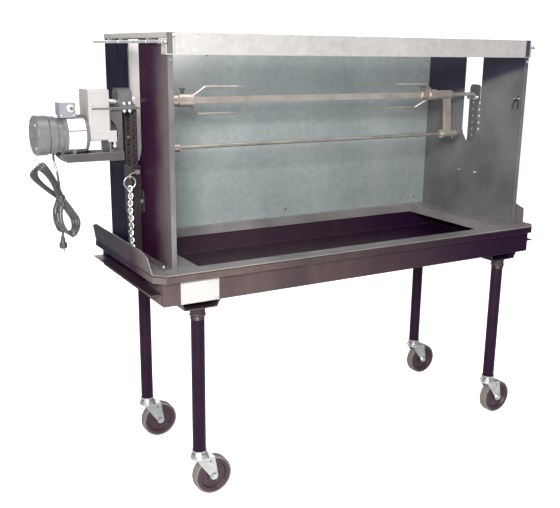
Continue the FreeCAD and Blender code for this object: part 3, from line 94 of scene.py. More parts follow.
SHARP_EDGE = math.radians(35)
CORD_RADIUS = 3.4 * MM
CORD_STRANDS = 4
STRAND_STEP = (0.0062, 0.0050)         # spacing of the strands across and along
TIE_TURNS = 4
PLUG_LENGTH = 0.0382
BLADE_HALF = (0.0008, 0.0032)
LINK_LENGTH = 0.0098
LINK_WIDTH = 0.0066
LINK_WIRE = 0.0023
LINK_TWIST = 0.0022
LINK_PITCH = 0.0116
LOOSE_LINKS = 4
LABEL_LENGTH = (0.063, 0.012)          # the label's two ends, measured back from the drive end
GEARBOX_FACE = 0.063                   # width of the gearbox front that carries screws
SOCKET_INSET = 0.0242                  # from the sockets' box to their centre lines
SOCKET_WELD_R = 0.0234
CHANNEL_LENGTH = 0.128
WELD_LENGTH = 0.06
THREADS = 5
THREAD_PITCH = 0.0022
CASTER_STEM_IN = 0.028
PLATE_INSET = 0.0045

# ------------------------------------------------------------------ materials


class Shader:
    """Small helper that builds one node material."""

    def __init__(self, name):
        self.material = bpy.data.materials.new(name)
        self.material.use_nodes = True
        self.tree = self.material.node_tree
        self.bsdf = self.tree.nodes["Principled BSDF"]
        self.coords = self.node("ShaderNodeTexCoord").outputs["Object"]

    def node(self, kind, **settings):
        made = self.tree.nodes.new(kind)
        for key, value in settings.items():
            setattr(made, key, value)
        return made

    def link(self, source, target):
        self.tree.links.new(source, target)

    def noise(self, scale, detail=4.0, stretch=(1, 1, 1), rough=0.55):
        mapping = self.node("ShaderNodeMapping")
        mapping.inputs["Scale"].default_value = stretch
        self.link(self.coords, mapping.inputs["Vector"])
        made = self.node("ShaderNodeTexNoise")
        made.inputs["Scale"].default_value = scale
        made.inputs["Detail"].default_value = detail
        made.inputs["Roughness"].default_value = rough
        self.link(mapping.outputs["Vector"], made.inputs["Vector"])
        return made.outputs["Fac"]

    def ramp(self, source, low, high, colour_low=(0, 0, 0, 1), colour_high=(1, 1, 1, 1)):
        made = self.node("ShaderNodeValToRGB")
        made.color_ramp.elements[0].position = low
        made.color_ramp.elements[1].position = high
        made.color_ramp.elements[0].color = colour_low
        made.color_ramp.elements[1].color = colour_high
        self.link(source, made.inputs["Fac"])
        return made.outputs["Color"]

    def axes(self, source):
        """Splits a vector into its X, Y and Z outputs."""
        made = self.node("ShaderNodeSeparateXYZ")
        self.link(source, made.inputs["Vector"])
        return made.outputs

    def mix(self, factor, first, second, mode="MIX"):
        made = self.node("ShaderNodeMix", data_type="RGBA", blend_type=mode)
        for value, index in ((factor, 0), (first, 6), (second, 7)):
            if isinstance(value, (int, float, tuple)):
                made.inputs[index].default_value = value
            else:
                self.link(value, made.inputs[index])
        return made.outputs[2]

    def maths(self, operation, first, second):
        made = self.node("ShaderNodeMath", operation=operation)
        for value, index in ((first, 0), (second, 1)):
            if isinstance(value, (int, float)):
                made.inputs[index].default_value = value
            else:
                self.link(value, made.inputs[index])
        return made.outputs[0]

    def spread(self, source, low, high):
        """Maps 0..1 to low..high."""
        made = self.node("ShaderNodeMapRange")
        made.inputs["To Min"].default_value = low
        made.inputs["To Max"].default_value = high
        self.link(source, made.inputs["Value"])
        return made.outputs["Result"]

    def edge_wear(self, radius, low, high):
        """1 on sharp edges and 0 on flats, broken up by noise."""
        bevel = self.node("ShaderNodeBevel", samples=4)
        bevel.inputs["Radius"].default_value = radius
        geometry = self.node("ShaderNodeNewGeometry")
        dot = self.node("ShaderNodeVectorMath", operation="DOT_PRODUCT")
        self.link(bevel.outputs["Normal"], dot.inputs[0])
        self.link(geometry.outputs["Normal"], dot.inputs[1])
        edge = self.maths("SUBTRACT", 1.0, dot.outputs["Value"])
        broken = self.maths("MULTIPLY", edge, self.spread(self.noise(60.0, 3.0), 0.55, 1.3))
        return self.ramp(broken, low, high)

    def bump(self, height, strength, distance, radius=0.0):
        made = self.node("ShaderNodeBump")
        made.inputs["Strength"].default_value = strength
        made.inputs["Distance"].default_value = distance
        self.link(height, made.inputs["Height"])
        if radius:
            bevel = self.node("ShaderNodeBevel", samples=4)
            bevel.inputs["Radius"].default_value = radius
            self.link(bevel.outputs["Normal"], made.inputs["Normal"])
        self.link(made.outputs["Normal"], self.bsdf.inputs["Normal"])

    def between(self, value, low, high):
        """Smooth 0 to 1 as value runs from low to high."""
        made = self.node("ShaderNodeMapRange", interpolation_type="SMOOTHSTEP")
        made.inputs["From Min"].default_value = low
        made.inputs["From Max"].default_value = high
        self.link(value, made.inputs["Value"])
        return made.outputs["Result"]

    def finish(self, colour, rough, metal=0.0, coat=0.0, specular=None):
        for value, key in ((colour, "Base Color"), (rough, "Roughness"), (metal, "Metallic")):
            if isinstance(value, (int, float, tuple)):
                self.bsdf.inputs[key].default_value = value
            else:
                self.link(value, self.bsdf.inputs[key])
        self.bsdf.inputs["Coat Weight"].default_value = coat
        self.bsdf.inputs["Coat Roughness"].default_value = 0.2
        if isinstance(specular, (int, float)):
            self.bsdf.inputs["Specular IOR Level"].default_value = specular
        elif specular is not None:
            self.link(specular, self.bsdf.inputs["Specular IOR Level"])
        return self.material


def rgb(red, green, blue, scale=1.0):
    return (red * scale, green * scale, blue * scale, 1.0)


# Painted shade on the left-facing sheets at the left end: lighter at the front, darker in the middle, darkest
# at the back.
SIDE_SHADE_FRONT = (0.085, 0.070, 0.072, 1.0)
SIDE_SHADE_MID = (0.018, 0.003, 0.014, 1.0)
SIDE_SHADE_BACK = (0.0015, 0.0006, 0.012, 1.0)
# Colour of the painted shadow that the front bar casts across the right end.
BAR_SHADOW = (0.003, 0.001, 0.016, 1.0)
# Paler strip along the top hem of the left-facing sheets.
PALE_TOP_HEM = (0.30, 0.29, 0.28, 1.0)


def outer_sheet(s, place, base, gloss):
    """Painted shade on the left-facing faces at the left end, darker towards the back, with less gloss and a
    paler strip along the top hem; a slanted band of painted shadow from the front bar lies across the right
    end.
    """
    facing = s.axes(s.node("ShaderNodeNewGeometry").outputs["Normal"])
    # painted shade: faces turned to the left at the left end, where the lamps barely reach; they also lose
    # gloss
    shaded_side = s.maths("MULTIPLY", s.between(facing["X"], -0.2, -0.45), s.between(place["X"], -0.50, -0.56))
    # the painted shade darkens from the front towards the back, its edge broken up by noise
    grime_and_shade = s.maths("ADD", place["Y"], s.maths("MULTIPLY", s.noise(6.0, 5.0), 0.10))
    side = s.mix(s.between(grime_and_shade, -0.235, -0.10), SIDE_SHADE_FRONT, SIDE_SHADE_MID)
    side = s.mix(s.between(grime_and_shade, -0.05, 0.09), side, SIDE_SHADE_BACK)
    # a paler strip along the top hem
    side = s.mix(s.between(place["Z"], 1.4115, 1.4145), side, PALE_TOP_HEM)
    base = s.mix(shaded_side, base, side)
    gloss = s.maths("MULTIPLY", s.maths("SUBTRACT", 1.08, shaded_side), gloss)
    # painted shadow of the front bar: a band that slants down towards the back, at the right end
    slant = s.maths("ADD", place["Z"], s.maths("MULTIPLY", place["Y"], 0.3))
    painted_shading = s.maths("MULTIPLY", s.between(slant, 1.236, 1.268), s.between(place["X"], 0.70, 0.75))
    return s.mix(s.maths("MULTIPLY", painted_shading, 0.9), base, BAR_SHADOW), gloss


def painted(name, colour, rough=0.34, bare=(0.30, 0.26, 0.23, 1.0), wear=0.6, dust=(0.20, 0.17, 0.14, 1.0),
            dusty=0.25, peel=0.12, shine=0.5, far=None, outer=False):
    """Brushed-on semi-gloss paint: cloudy colour, orange peel, dust and worn edges.

    far is the painted shade colour: the paint turns to it towards the right end of the machine, where the
    lamps' light falls off, and on the faces behind the front face.
    outer marks the sheets that get outer_sheet's painted shade and painted shadow.
    """
    s = Shader(name)
    cloudy = s.ramp(s.noise(5.0, 6.0), 0.35, 0.68, rgb(*colour[:3], 0.72), rgb(*colour[:3], 1.35))
    streak = s.noise(9.0, 5.0, (1.0, 1.0, 0.25))
    settled = s.maths("MULTIPLY", s.ramp(streak, 0.52, 0.78), dusty)
    base = s.mix(settled, cloudy, dust)
    gloss = shine
    place = s.axes(s.coords)
    # painted shade: darker towards the right end, with less gloss, and darker on the faces behind the front
    # face
    if far is not None:
        across = s.between(place["X"], -0.35, 0.75)
        inside = s.maths("MULTIPLY", s.between(place["Y"], -0.325, -0.300), 0.75)
        base = s.mix(s.maths("MAXIMUM", across, inside), base, far + (1.0,))
        gloss = s.maths("MULTIPLY", s.maths("SUBTRACT", 1.1, across), shine)
    if outer:
        base, gloss = outer_sheet(s, place, base, gloss)
    edges = s.maths("MULTIPLY", s.edge_wear(0.0016, 0.06, 0.30), wear)
    base = s.mix(edges, base, bare)
    rough_map = s.spread(s.noise(14.0, 5.0), rough - 0.09, rough + 0.14)
    grain = s.maths("ADD", s.noise(420.0, 2.0), s.maths("MULTIPLY", s.noise(70.0, 3.0), 0.6))
    s.bump(grain, peel, 0.0006, 0.0008)
    return s.finish(base, rough_map, s.maths("MULTIPLY", edges, 0.7), 0.0, gloss)


def galvanised(name, light, dark, rough=0.38, metal=0.85, lit_colour=None):
    """Zinc-coated sheet: crystal spangle, soft stains and fine scratches.

    The optional last colour is painted light: the sheet turns to it towards the upper left, where the lamps
    light it most.
    """
    s = Shader(name)
    cells = s.node("ShaderNodeTexVoronoi")
    cells.inputs["Scale"].default_value = 55.0
    s.link(s.coords, cells.inputs["Vector"])
    spangle = s.ramp(cells.outputs["Color"], 0.15, 0.85)
    stain = s.noise(3.2, 6.0, (1.0, 1.0, 0.6))
    base = s.mix(s.ramp(stain, 0.32, 0.72), dark, light)
    base = s.mix(0.06, base, spangle, "OVERLAY")
    if lit_colour is not None:
        place = s.axes(s.coords)
        # painted light: lighter towards the upper left
        below_top = s.maths("SUBTRACT", 1.38, place["Z"])
        painted_shading = s.maths("ADD", place["X"], s.maths("MULTIPLY", below_top, 0.55))
        base = s.mix(s.between(painted_shading, -0.12, -0.52), base, lit_colour)
    scratch = s.noise(30.0, 3.0, (0.15, 1.0, 6.0))
    rough_map = s.maths("ADD", s.spread(stain, rough - 0.06, rough + 0.12),
                        s.maths("MULTIPLY", s.ramp(scratch, 0.62, 0.75), 0.08))
    s.bump(s.maths("ADD", s.noise(2.2, 2.0), s.maths("MULTIPLY", scratch, 0.02)), 0.35, 0.004, 0.0006)
    return s.finish(base, rough_map, metal)


def brushed(name, colour, tint, rough=0.32, along=(0.12, 6.0, 6.0), metal=0.9):
    """Bare drawn or ground steel: fine lines along one axis, heat tint and smudges."""
    s = Shader(name)
    lines = s.noise(160.0, 4.0, along)
    smudge = s.noise(11.0, 5.0)
    base = s.mix(s.ramp(smudge, 0.38, 0.70), colour, tint)
    base = s.mix(0.22, base, s.ramp(lines, 0.3, 0.7), "SOFT_LIGHT")
    rough_map = s.maths("ADD", s.spread(smudge, rough - 0.08, rough + 0.10), s.maths("MULTIPLY", lines, 0.12))
    s.bump(lines, 0.18, 0.0005, 0.0006)
    return s.finish(base, rough_map, metal)


def bright_metal(name, colour, rough=0.2):
    """Zinc or chrome plate with haze and tiny pits."""
    s = Shader(name)
    haze = s.noise(45.0, 5.0)
    base = s.mix(s.ramp(haze, 0.4, 0.75), colour, rgb(*colour[:3], 0.72))
    s.bump(s.noise(600.0, 2.0), 0.12, 0.0004, 0.0006)
    return s.finish(base, s.spread(haze, rough - 0.06, rough + 0.14), 0.95)


def cast(name, colour, rough=0.55, metal=0.5):
    """Cast metal: sandy grain and darker blotches."""
    s = Shader(name)
    grain = s.noise(260.0, 4.0)
    blotch = s.noise(18.0, 4.0)
    base = s.mix(s.ramp(blotch, 0.35, 0.7), colour, rgb(*colour[:3], 0.62))
    s.bump(grain, 0.5, 0.0008, 0.001)
    return s.finish(base, s.spread(blotch, rough - 0.1, rough + 0.12), metal)


def enamel(name, colour, dirt=(0.28, 0.24, 0.20, 1.0), rough=0.38, dirty=0.30, grain=0.25):
    """Sprayed machine enamel: fine hammer grain, patches of dirt, chipped edges."""
    s = Shader(name)
    grime_and_shade = s.ramp(s.noise(20.0, 6.0), 0.5, 0.82)
    base = s.mix(s.maths("MULTIPLY", grime_and_shade, dirty), colour, dirt)
    shade = s.ramp(s.noise(4.0, 3.0), 0.3, 0.7, rgb(0.86, 0.86, 0.86), rgb(1, 1, 1))
    base = s.mix(1.0, base, shade, "MULTIPLY")
    edges = s.maths("MULTIPLY", s.edge_wear(0.0012, 0.10, 0.40), 0.35)
    base = s.mix(edges, base, rgb(0.5, 0.5, 0.5))
    s.bump(s.noise(330.0, 3.0), grain, 0.0005, 0.001)
    return s.finish(base, s.spread(grime_and_shade, rough, rough + 0.2), 0.0, 0.1)


def moulded(name, colour, rough=0.45, speck=(0.0, 0.0, 0.0, 1.0), specks=0.3, grain=0.3):
    """Moulded rubber or plastic: flow marks, scuffs and embedded specks."""
    s = Shader(name)
    marble = s.noise(38.0, 6.0)
    base = s.mix(s.maths("MULTIPLY", s.ramp(marble, 0.45, 0.7), specks), colour, speck)
    scuff = s.ramp(s.noise(90.0, 4.0, (1.0, 1.0, 3.0)), 0.66, 0.8)
    base = s.mix(s.maths("MULTIPLY", scuff, 0.25), base, rgb(0.45, 0.42, 0.40))
    s.bump(s.noise(500.0, 3.0), grain, 0.0005, 0.0008)
    return s.finish(base, s.spread(marble, rough - 0.08, rough + 0.16))


SHADERS = {
    # the far colour is painted shade towards the right end
    "trough_paint": painted("trough paint", (0.044, 0.026, 0.025), 0.38, dusty=0.2, shine=0.42,
                            far=(0.012, 0.004, 0.015), outer=True),
    # Paler than the trough paint, standing for light falling on its top: painted light. Its pale worn edges
    # are real wear made strong to stand for the edge highlights too: painted highlight.
    "deck_steel": painted("deck paint", (0.118, 0.112, 0.112), 0.32, (0.55, 0.55, 0.54, 1.0), 0.8, dusty=0.35,
                          outer=True),
    "plate_alu": brushed("plate alu", rgb(0.40, 0.39, 0.385), rgb(0.34, 0.33, 0.325), 0.5, metal=0.2),
    "leg_paint": painted("leg paint", (0.012, 0.003, 0.013), 0.36, wear=0.3, dusty=0.03, shine=0.10),
    "socket_steel": painted("socket paint", (0.020, 0.010, 0.018), 0.36, wear=1.0, dusty=0.1, shine=0.25),
    "panel_paint": painted("panel paint", (0.078, 0.076, 0.079), 0.40, dusty=0.12, shine=0.4,
                           outer=True),
    # the last colour is painted light on the upper left of the sheet
    "galvanised": galvanised("galvanised", rgb(0.27, 0.30, 0.305), rgb(0.20, 0.23, 0.235), 0.5, 0.3,
                             rgb(0.62, 0.60, 0.58)),
    "zinc": bright_metal("zinc plate", rgb(0.47, 0.485, 0.49), 0.32),
    "wheel_core": moulded("wheel core", rgb(0.030, 0.012, 0.022), 0.42, rgb(0.008, 0.003, 0.008)),
    # The tread's light khaki stands for light reflected off the dark wheel: painted reflection.
    "wheel_tread": moulded("wheel tread", rgb(0.13, 0.115, 0.10), 0.6, rgb(0.05, 0.04, 0.04)),
    "rod_steel": brushed("rod steel", rgb(0.46, 0.43, 0.38), rgb(0.30, 0.27, 0.23), 0.34),
    "mast_paint": painted("mast paint", (0.014, 0.010, 0.013), 0.38, dusty=0.06, shine=0.2),
    "post_steel": brushed("post steel", rgb(0.20, 0.20, 0.20), rgb(0.12, 0.12, 0.12), 0.42,
                          (4.0, 4.0, 0.15)),
    "bracket_steel": painted("bracket paint", (0.050, 0.047, 0.049), 0.34, (0.75, 0.74, 0.72, 1.0), 1.0),
    "block_iron": cast("block iron", rgb(0.115, 0.112, 0.115)),
    "case_paint": enamel("case enamel", rgb(0.30, 0.29, 0.29), grain=0.12, dirty=0.15),
    "motor_paint": enamel("motor enamel", rgb(0.10, 0.10, 0.105), rgb(0.05, 0.045, 0.04), 0.34),
    "gear_steel": brushed("gear steel", rgb(0.4, 0.4, 0.4), rgb(0.25, 0.24, 0.22), 0.3),
    "box_alu": enamel("box enamel", rgb(0.165, 0.172, 0.195), rgb(0.10, 0.09, 0.09), 0.30),
    "switch_chrome": bright_metal("switch plate", rgb(0.75, 0.75, 0.75), 0.12),
    "cord_rubber": moulded("cord rubber", rgb(0.040, 0.040, 0.043), 0.20, rgb(0.008, 0.007, 0.009)),
    "spit_steel": brushed("spit steel", rgb(0.52, 0.475, 0.435), rgb(0.36, 0.31, 0.27), 0.38),
    "screw_steel": brushed("screw steel", rgb(0.12, 0.11, 0.12), rgb(0.05, 0.045, 0.05), 0.4),
    "roller_steel": bright_metal("roller steel", rgb(0.7, 0.7, 0.7), 0.16),
}
EXTRA = {
    "bar": galvanised("bright galvanised", rgb(0.34, 0.33, 0.325), rgb(0.28, 0.27, 0.265), 0.45, 0.25),
    "links": bright_metal("chain plate", rgb(0.66, 0.68, 0.67), 0.3),
    "bright": bright_metal("bright nickel", rgb(0.86, 0.86, 0.86), 0.3),
    "thread": bright_metal("bare thread", rgb(0.16, 0.15, 0.145), 0.34),
    "brass": bright_metal("brass", rgb(0.55, 0.38, 0.14), 0.28),
    "label": enamel("blank label", rgb(0.62, 0.62, 0.60), rgb(0.30, 0.27, 0.22), 0.4, 0.25, 0.05),
    "weld": cast("weld bead", rgb(0.035, 0.022, 0.02), 0.4, 0.3),
}


def dress(node, material):
    """Gives a CAD node one material."""
    mesh = NODES[node].data
    mesh.materials.clear()
    mesh.materials.append(material)


for entry in frame["record"]["subparts"]:
    dress(entry["node"], SHADERS[entry["material_slot"]])
dress("front_top_bar", EXTRA["bar"])
dress("tool_hook", SHADERS["socket_steel"])
dress("output_shaft", EXTRA["bright"])
dress("lift_post_left", SHADERS["mast_paint"])
dress("latch_rod_left", EXTRA["links"])
dress("latch_rod_right", EXTRA["links"])

# ------------------------------------------------------------------ mesh helpers


def mesh_object(name, bm, material, smooth=True):
    """Turns a bmesh into a linked object with one material."""
    mesh = bpy.data.meshes.new(name)
    bm.to_mesh(mesh)
    bm.free()
    made = bpy.data.objects.new(name, mesh)
    bpy.context.scene.collection.objects.link(made)
    mesh.materials.append(material)
    if smooth:
        mesh.polygons.foreach_set("use_smooth", [True] * len(mesh.polygons))
    return made


def piece(name, bm, material, body, smooth=True):
    """Turns a bmesh into a named piece that rides on a body."""
    bmesh.ops.recalc_face_normals(bm, faces=bm.faces)
    made = mesh_object(name, bm, material, smooth)
    if smooth:
        made.data.set_sharp_from_angle(angle=SHARP_EDGE)
    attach(made, body)
    return made


def tube(bm, points, radius, sides=10, closed=False, taper=None):
    """Sweeps a round section along points, with a frame that twists as little as it can."""
    count = len(points)
    rings = []
    side = None
    for index, point in enumerate(points):
        before = points[index - 1] if index or closed else point
        after = points[(index + 1) % count] if index < count - 1 or closed else point
        ahead = (after - before).normalized()
        if side is None:
            side = ahead.cross(Z_AXIS if abs(ahead.z) < 0.9 else X_AXIS).normalized()
        side = (side - ahead * side.dot(ahead)).normalized()
        up = ahead.cross(side)
        r = radius if taper is None else radius * taper(index / max(1, count - 1))
        ring = []
        for step in range(sides):
            angle = 2 * math.pi * step / sides
            ring.append(bm.verts.new(point + side * (r * math.cos(angle)) + up * (r * math.sin(angle))))
        rings.append(ring)
    spans = count if closed else count - 1
    for index in range(spans):
        first, second = rings[index], rings[(index + 1) % count]
        for step in range(sides):
            nxt = (step + 1) % sides
            bm.faces.new((first[step], first[nxt], second[nxt], second[step]))
    if not closed:
        bm.faces.new(rings[0][::-1])
        bm.faces.new(rings[-1])


def smooth_path(points, steps=12, closed=False):
    """Catmull-Rom curve through points."""
    count = len(points)
    out = []
    spans = count if closed else count - 1
    for index in range(spans):
        if closed:
            a, b, c, d = (points[(index + k - 1) % count] for k in range(4))
        else:
            a = points[max(index - 1, 0)]
            b, c = points[index], points[index + 1]
            d = points[min(index + 2, count - 1)]
        for step in range(steps):
            t = step / steps
            out.append(0.5 * ((2 * b) + (c - a) * t + (2 * a - 5 * b + 4 * c - d) * t * t
                              + (3 * b - a - 3 * c + d) * t ** 3))
    if not closed:
        out.append(points[-1].copy())
    return out


def lathe(bm, profile, centre, axis, sides=32):
    """Turns a profile of (distance along axis, radius) about an axis."""
    axis = axis.normalized()
    side = axis.cross(Z_AXIS if abs(axis.z) < 0.9 else X_AXIS).normalized()
    up = axis.cross(side)
    rings = []
    for along, radius in profile:
        if radius < 1e-6:
            rings.append([bm.verts.new(centre + axis * along)])
            continue
        ring = []
        for step in range(sides):
            angle = 2 * math.pi * step / sides
            ring.append(bm.verts.new(centre + axis * along + side * (radius * math.cos(angle))
                                     + up * (radius * math.sin(angle))))
        rings.append(ring)
    for first, second in zip(rings[:-1], rings[1:]):
        for step in range(sides):
            nxt = (step + 1) % sides
            if len(first) == 1 and len(second) == 1:
                continue
            if len(first) == 1:
                bm.faces.new((first[0], second[nxt], second[step]))
            elif len(second) == 1:
                bm.faces.new((first[step], first[nxt], second[0]))
            else:
                bm.faces.new((first[step], first[nxt], second[nxt], second[step]))


def circle(centre, radius, count, first, second):
    """Points round a circle in the plane of two unit vectors."""
    angles = (2 * math.pi * k / count for k in range(count))
    return [centre + first * (radius * math.cos(a)) + second * (radius * math.sin(a)) for a in angles]


def screw(bm, centre, axis, radius, height, sides=6):
    """Screw head with a chamfered top."""
    lathe(bm, [(-0.0004, 0.0), (-0.0004, radius), (height * 0.7, radius), (height, radius * 0.78),
               (height, 0.0)], centre, axis, sides)


def middle(node):
    """Centre of a CAD node's box."""
    low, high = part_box(node)
    return (low + high) / 2


# ------------------------------------------------------------------ camera, light and floor


def area_light(name, place, target, size, power, colour):
    """Rectangular lamp that faces its target."""
    data = bpy.data.lights.new(name, "AREA")
    data.shape = "RECTANGLE"
    data.size, data.size_y = size
    data.energy = power
    data.color = colour
    lamp = bpy.data.objects.new(name, data)
    lamp.location = place
    lamp.rotation_euler = (Vector(target) - Vector(place)).to_track_quat("-Z", "Y").to_euler()
    bpy.context.scene.collection.objects.link(lamp)


def studio():
    """Camera, five soft lamps and a surround that is white to the camera and dim to the object."""
    scene = bpy.context.scene
    data = bpy.data.cameras.new("camera")
    data.sensor_width = SENSOR_MM
    data.lens = LENS_MM
    camera = bpy.data.objects.new("camera", data)
    heading = Matrix.Rotation(-CAMERA_YAW, 4, "Z")
    tilt = Matrix.Rotation(math.pi / 2 - CAMERA_PITCH, 4, "X")
    roll = Matrix.Rotation(CAMERA_ROLL, 4, "Z")
    camera.matrix_world = Matrix.Translation(Vector(CAMERA_PLACE)) @ heading @ tilt @ roll
    scene.collection.objects.link(camera)
    scene.camera = camera
    scene.view_settings.view_transform = "Standard"
    scene.view_settings.look = "None"
    world = bpy.data.worlds.new("studio")
    world.use_nodes = True
    tree = world.node_tree
    seen = tree.nodes["Background"]
    seen.inputs["Color"].default_value = (1.0, 1.0, 1.0, 1.0)
    seen.inputs["Strength"].default_value = 1.0
    felt = tree.nodes.new("ShaderNodeBackground")
    felt.inputs["Color"].default_value = WORLD_TINT
    felt.inputs["Strength"].default_value = WORLD_FELT
    ray = tree.nodes.new("ShaderNodeLightPath")
    blend = tree.nodes.new("ShaderNodeMixShader")
    tree.links.new(ray.outputs["Is Camera Ray"], blend.inputs["Fac"])
    tree.links.new(felt.outputs["Background"], blend.inputs[1])
    tree.links.new(seen.outputs["Background"], blend.inputs[2])
    tree.links.new(blend.outputs["Shader"], tree.nodes["World Output"].inputs["Surface"])
    scene.world = world
    for lamp in LIGHTS:
        area_light(*lamp)


def floor():
    """Plain pale floor, swept up behind like a studio paper roll."""
    bm = bmesh.new()
    rows = []
    profile = [(FLOOR_FRONT, 0.0), (FLOOR_BACK, 0.0)]
    for step in range(1, SWEEP_STEPS + 1):
        angle = math.pi / 2 * step / SWEEP_STEPS
        profile.append((FLOOR_BACK + SWEEP_RADIUS * math.sin(angle), SWEEP_RADIUS * (1 - math.cos(angle))))
    profile.append((FLOOR_BACK + SWEEP_RADIUS, SWEEP_TOP))
    for y, z in profile:
        rows.append([bm.verts.new((x, y, z - FLOOR_GAP)) for x in (-FLOOR_HALF_WIDTH, FLOOR_HALF_WIDTH)])
    for first, second in zip(rows[:-1], rows[1:]):
        bm.faces.new((first[0], first[1], second[1], second[0]))
    s = Shader("paper")
    tone = s.ramp(s.noise(0.8, 3.0), 0.3, 0.7, rgb(0.86, 0.86, 0.86), rgb(0.90, 0.90, 0.895))
    ray = s.node("ShaderNodeLightPath")
    s.bsdf.inputs["Emission Color"].default_value = (1.0, 1.0, 1.0, 1.0)
    glow = s.maths("MULTIPLY", ray.outputs["Is Camera Ray"], PAPER_GLOW)
    s.link(glow, s.bsdf.inputs["Emission Strength"])
    mesh_object("floor", bm, s.finish(tone, 0.85, 0.0, 0.0, 0.1))


studio()
floor()

# ------------------------------------------------------------------ power cord


def cord_strand(bm, tie, dx, dy, grow):
    """One pass of the hank: a loop leaning left above the tie and a loop hanging below it."""
    upper = [tie + Vector((0.002 + dx, dy, 0.0)),
             tie + Vector((-0.040 * grow + dx, dy * 1.3, 0.034)),
             tie + Vector((-0.0715 + dx, dy * 0.9, 0.068)),
             tie + Vector((-0.0715 + dx * 1.2, dy, 0.092 * grow)),
             tie + Vector((-0.052 + dx, dy * 0.6, 0.100 * grow)),
             tie + Vector((-0.022 + dx, dy * 1.2, 0.060)),
             tie + Vector((0.001 + dx, dy, 0.0))]
    tube(bm, smooth_path(upper), CORD_RADIUS)
    lower = [tie + Vector((dx, -dy, 0.0)),
             tie + Vector((-0.012 + dx, -dy * 1.2, -0.040)),
             tie + Vector((-0.006 + dx, -dy, -0.082)),
             tie + Vector((0.018 + dx, -dy * 0.7, -0.108 * grow)),
             tie + Vector((0.037 + dx * 0.8, -dy, -0.098)),
             tie + Vector((0.040 + dx, -dy * 1.1, -0.068)),
             tie + Vector((0.022 + dx, -dy, -0.034)),
             tie + Vector((dx, -dy, 0.0))]
    tube(bm, smooth_path(lower), CORD_RADIUS)


def cord_tie(bm, tie):
    """The cord's own end wound round the middle of the hank."""
    for index in range(TIE_TURNS):
        ring_z = 0.008 - 0.0052 * index
        ring = [tie + Vector((0.0105 * math.cos(a), 0.0105 * math.sin(a), ring_z + 0.002 * math.sin(2 * a)))
                for a in (2 * math.pi * k / 20 for k in range(20))]
        tube(bm, ring, CORD_RADIUS * 0.85, 8, True)


def plug_body(bm, plug_top):
    """Ribbed strain relief that widens into the plug."""
    sleeve = [(0.0, 0.0036), (0.001, 0.0052)]
    for rib in range(5):
        base = 0.003 + 0.003 * rib
        sleeve += [(base, 0.0048 + 0.0004 * rib), (base + 0.0012, 0.0060 + 0.0004 * rib),
                   (base + 0.0022, 0.0060 + 0.0004 * rib)]
    sleeve += [(0.020, 0.0085), (0.024, 0.0118), (0.036, 0.0118), (0.038, 0.0098), (PLUG_LENGTH, 0.0)]
    lathe(bm, sleeve, plug_top, -Z_AXIS, 24)


def plug_blades(face):
    """Two flat blades with narrowed tips and one round earth pin."""
    bm = bmesh.new()
    half_x, half_y = BLADE_HALF
    for dx in (-0.0055, 0.0055):
        rows = []
        for drop, narrow in ((0.0, 1.0), (0.0125, 1.0), (0.0155, 0.55)):
            rows.append([bm.verts.new(face + Vector((dx + sx * half_x, 0.003 + sy * half_y * narrow, -drop)))
                         for sx, sy in ((-1, -1), (1, -1), (1, 1), (-1, 1))])
        for first, second in zip(rows[:-1], rows[1:]):
            for k in range(4):
                bm.faces.new((first[k], first[(k + 1) % 4], second[(k + 1) % 4], second[k]))
        bm.faces.new(rows[-1])
        bm.faces.new(rows[0][::-1])
    lathe(bm, [(-0.001, 0.0), (-0.001, 0.0024), (0.014, 0.0024), (0.016, 0.0012), (0.0165, 0.0)],
          face + Vector((0, -0.005, 0)), -Z_AXIS, 14)
    piece("plug_blades", bm, EXTRA["bright"], "left_carriage", False)


def power_cord():
    """Cord hank: a few loops of flat-lying cord tied in the middle, with a moulded plug."""
    low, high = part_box("power_cord")
    y = low.y + 0.011

    def at(part_x, part_z):
        return low.x + (high.x - low.x) * part_x, low.z + (high.z - low.z) * part_z

    def spot(part_x, part_z, dy=0.0):
        x, z = at(part_x, part_z)
        return Vector((x, y + dy, z))

    bm = bmesh.new()
    exit_point = Vector((at(0.555, 1.0)[0], high.y - 0.004, high.z))
    tie = spot(0.632, 0.558)
    lead = [exit_point, exit_point - Z_AXIS * 0.02, spot(0.60, 0.80, 0.008),
            tie + Vector((0.0, 0.003, 0.012)), tie - Z_AXIS * 0.01]
    tube(bm, smooth_path(lead), CORD_RADIUS)
    for index in range(CORD_STRANDS):
        off = index - 1.5
        cord_strand(bm, tie, STRAND_STEP[0] * off, STRAND_STEP[1] * off, 1.0 + 0.045 * off)
    cord_tie(bm, tie)
    plug_top = spot(0.625, 0.185)
    tail = [tie - Z_AXIS * 0.01, tie + Vector((-0.016, 0.007, -0.05)), tie + Vector((-0.014, 0.004, -0.09)),
            plug_top + Z_AXIS * 0.012, plug_top]
    tube(bm, smooth_path(tail), CORD_RADIUS)
    plug_body(bm, plug_top)
    cord = piece("power_cord_hank", bm, SHADERS["cord_rubber"], "left_carriage")
    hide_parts("power_cord")
    plug_blades(plug_top - Z_AXIS * PLUG_LENGTH)


power_cord()

# ------------------------------------------------------------------ chains and wire loops


def oval_link(bm, centre, spin, tip):
    """One closed oval link; spin turns it about Z and tip lays it over about Y."""
    turn = Matrix.Rotation(tip, 3, "Y") @ Matrix.Rotation(spin, 3, "Z")
    path = []
    for step in range(18):
        angle = 2 * math.pi * step / 18
        twist = LINK_TWIST * math.sin(2 * angle)
        shape = Vector((LINK_WIDTH * math.cos(angle), twist, LINK_LENGTH * math.sin(angle)))
        path.append(centre + turn @ shape)
    tube(bm, path, LINK_WIRE, 8, True)


